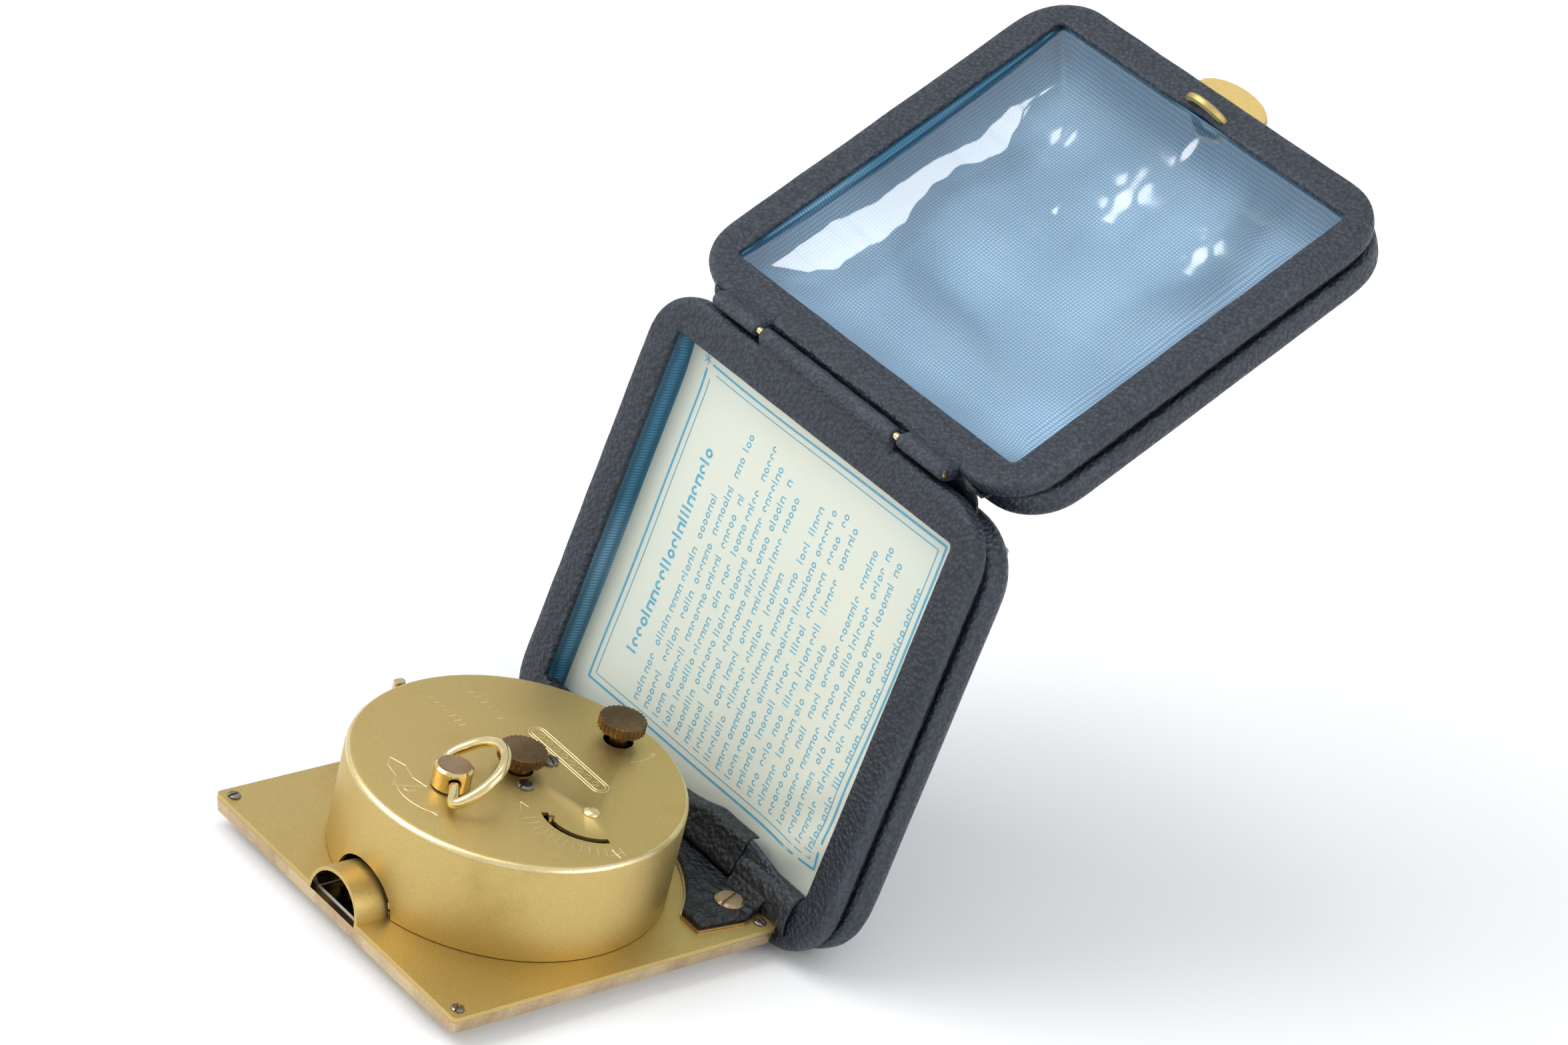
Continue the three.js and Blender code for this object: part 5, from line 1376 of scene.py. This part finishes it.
def leaf_layer(name, outline, low, high, rise, material, slot_name, replaced):
    solid = bmesh.new()
    rim = [solid.verts.new((x, y, low)) for x, y in outline]
    base = solid.faces.new(rim)
    made = bmesh.ops.extrude_face_region(solid, geom=[base])
    tops = [v for v in made["geom"] if isinstance(v, bmesh.types.BMVert)]
    bmesh.ops.translate(solid, verts=tops, vec=(0, 0, high - low))
    bmesh.ops.recalc_face_normals(solid, faces=solid.faces)
    mesh = bpy.data.meshes.new(name)
    solid.to_mesh(mesh)
    solid.free()
    piece = bpy.data.objects.new(name, mesh)
    bpy.context.collection.objects.link(piece)
    if rise:
        remesh = piece.modifiers.new("skin", "REMESH")
        remesh.mode = "VOXEL"
        remesh.voxel_size = 0.22
        depsgraph = bpy.context.evaluated_depsgraph_get()
        skin = bpy.data.meshes.new_from_object(piece.evaluated_get(depsgraph))
        piece.modifiers.clear()
        piece.data = skin
        for vertex in skin.vertices:
            if vertex.co.z > high - 0.3:
                for x, y in LEAF_SCREWS:
                    away = math.hypot(vertex.co.x - x, vertex.co.y - y)
                    turn = math.atan2(vertex.co.y - y, vertex.co.x - x)
                    rays = 0.5 + 0.5 * math.sin(9 * turn + 3 * noise.noise(vertex.co * 0.4))
                    vertex.co.z += rise * math.exp(-(away - 3.6) ** 2 / 5) * rays
                vertex.co.z += 0.1 * noise.noise(vertex.co * 0.8)
        skin.polygons.foreach_set("use_smooth", [True] * len(skin.polygons))
        set_wear(piece, [0.75 if v.co.z > high - 0.15 and noise.noise(v.co * 0.5) > -0.1 else 0.3
                         for v in skin.vertices])
        soften = piece.modifiers.new("soft_edges", "SMOOTH")
        soften.factor = 0.5
        soften.iterations = 3
    piece.data.materials.clear()
    piece.data.materials.append(material)
    placed(piece, Matrix.Identity(4), "clock", slot_name, *replaced)
    return piece


leaf_layer("hinge_leaf_leather", leaf_line, plate_top + 0.25, plate_top + 1.15, 0.35, hinge_leather,
           "leather", ["hinge_leaf"])
bare_line = [(x * 0.992 - 0.35, y * 1.012) for x, y in leaf_line]
leaf_layer("hinge_leaf_brass", bare_line, plate_top - 0.05, plate_top + 0.28, 0, worn_brass, "brass", [])


# Knuckles of the clock hinge and the leather wrap that carries it over the rear cover's bar: thin
# strips of black leather, glued down, and cut away where they would touch the drum.
def wrapped_strip(name, path, y0, y1, thickness, axes, body, seed):
    steps = max(10, int(abs(y1 - y0) / 0.7))
    vertices = []
    wear = []
    for step in range(steps + 1):
        y = y0 + (y1 - y0) * step / steps
        for index, (x, z) in enumerate(path):
            if body == "rear_cover":
                x = min(x, max(BAR_END, DRUM_AT - math.sqrt(max(0, DRUM_CLEAR ** 2 - y ** 2)) - thickness))
            bump = 0.13 * noise.noise(Vector((x + seed, y * 0.8, z)) * 0.8)
            waver = 0.25 * noise.noise(Vector((x, z, seed + (step > 2))) * 0.5)
            vertices.append(Vector((x, y + waver, z + bump)))
            # The top of the roll is paler: rubbed leather and a painted sheen.
            wear.append(0.9 if index in (3, 4, 5) else 0.35)
    piece = new_object(name, vertices, strip_faces(steps, len(path)))
    set_wear(piece, wear)
    hide = piece.modifiers.new("hide_thickness", "SOLIDIFY")
    hide.thickness = thickness * MM
    hide.offset = 0
    smoothed(piece)
    piece.data.materials.append(hinge_leather)
    return placed(piece, axes, body, "leather")


WRAP_PATH = [(-0.7, -0.75), (-1, 0.1), (-0.5, 0.9), (0.45, 0.95), (1.5, 0.45), (3.2, 0.1), (5, 0),
             (5.8, -0.5), (6, -1.6), (5.9, -3)]
BAR_END_PATH = [(-3.4, -2.2), (-3.6, -0.6), (-2.4, 0.35), (-0.4, 0.75), (1.6, 0.7), (3, 0.2), (3.75, -0.9),
                (3.6, -2.6)]
LEAF_KNUCKLE_PATH = [(-2.4, -0.95), (-1.6, -0.4), (-1.1, 0.5), (-0.2, 1.05), (0.7, 0.75), (1, -0.1),
                     (0.7, -0.85)]
pin_axes = Matrix.Translation(hinge_places["rear_cover_hinge"])
wrapped_strip("bar_wrap_leather", WRAP_PATH, -18.8, 18.8, 0.35, rear_axes, "rear_cover", 3)
for side, label in SIDES:
    wrapped_strip(f"bar_end_leather_{label}", BAR_END_PATH, side * 18.9, side * 32.4, 0.5, rear_axes,
                  "rear_cover", 9)
for side, label in SIDES:
    wrapped_strip(f"leaf_knuckle_{label}", LEAF_KNUCKLE_PATH, side * 19.3, side * 27.3, 0.35, pin_axes,
                  "clock", 6)

# Crystal and dial, under the clock: a pale, slightly yellowed moulded crystal over a plain dial
# with raised hour marks.
crystal_plastic = bpy.data.materials.new("crystal_plastic")
crystal_plastic.use_nodes = True
crystal_tree = crystal_plastic.node_tree
crystal_tree.nodes.clear()
crystal_place = crystal_tree.nodes.new("ShaderNodeTexCoord")
crystal_place.label = "place on the object"
crystal_place.location = (-700, 0)
scratches = crystal_tree.nodes.new("ShaderNodeTexNoise")
scratches.label = "scuffs"
scratches.location = (-500, 0)
scratches.inputs["Scale"].default_value = 260
scratches.inputs["Detail"].default_value = 8
scuffs = crystal_tree.nodes.new("ShaderNodeMapRange")
scuffs.label = "scuffed patches are duller"
scuffs.location = (-280, 0)
scuffs.inputs["To Min"].default_value = 0.05
scuffs.inputs["To Max"].default_value = 0.3
crystal_shader = crystal_tree.nodes.new("ShaderNodeBsdfPrincipled")
crystal_shader.label = "yellowed clear plastic"
crystal_shader.location = (0, 0)
crystal_shader.inputs["Base Color"].default_value = (0.86, 0.84, 0.74, 1)
crystal_shader.inputs["Alpha"].default_value = 0.35
crystal_output = crystal_tree.nodes.new("ShaderNodeOutputMaterial")
crystal_output.location = (300, 0)
scuff_group = crystal_tree.nodes.new("NodeFrame")
scuff_group.label = "scuffs"
for node in (scratches, scuffs):
    node.parent = scuff_group
crystal_tree.links.new(crystal_place.outputs["Object"], scratches.inputs["Vector"])
crystal_tree.links.new(scratches.outputs["Fac"], scuffs.inputs["Value"])
crystal_tree.links.new(scuffs.outputs["Result"], crystal_shader.inputs["Roughness"])
crystal_tree.links.new(crystal_shader.outputs["BSDF"], crystal_output.inputs["Surface"])
finished_copy("crystal", "clock", crystal_plastic, 0.1)
dial_enamel = metal("dial_enamel", (0.85, 0.82, 0.72), (0.7, 0.66, 0.52), 0.5, 2000, 0.2, 0.05)
dial_enamel.node_tree.nodes["Principled BSDF"].inputs["Metallic"].default_value = 0
keep(["dial"], dial_enamel)
DIAL_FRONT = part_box("dial")[0].z
MARKS_END = 25
for mark_name, count, length, width in (("hour_marks", 12, 2.8, 0.7), ("quarter_marks", 4, 4.2, 1.1)):
    bars_on_arc("dial_" + mark_name, bright_brass, "brass", (0, 0, DIAL_FRONT / MM - 0.1), Count=count,
                Radius=(MARKS_END - length / 2) * MM, First_angle=0.0, Step_angle=math.tau / count,
                Bar_size=(length * MM, width * MM, 0.25 * MM))

low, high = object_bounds()
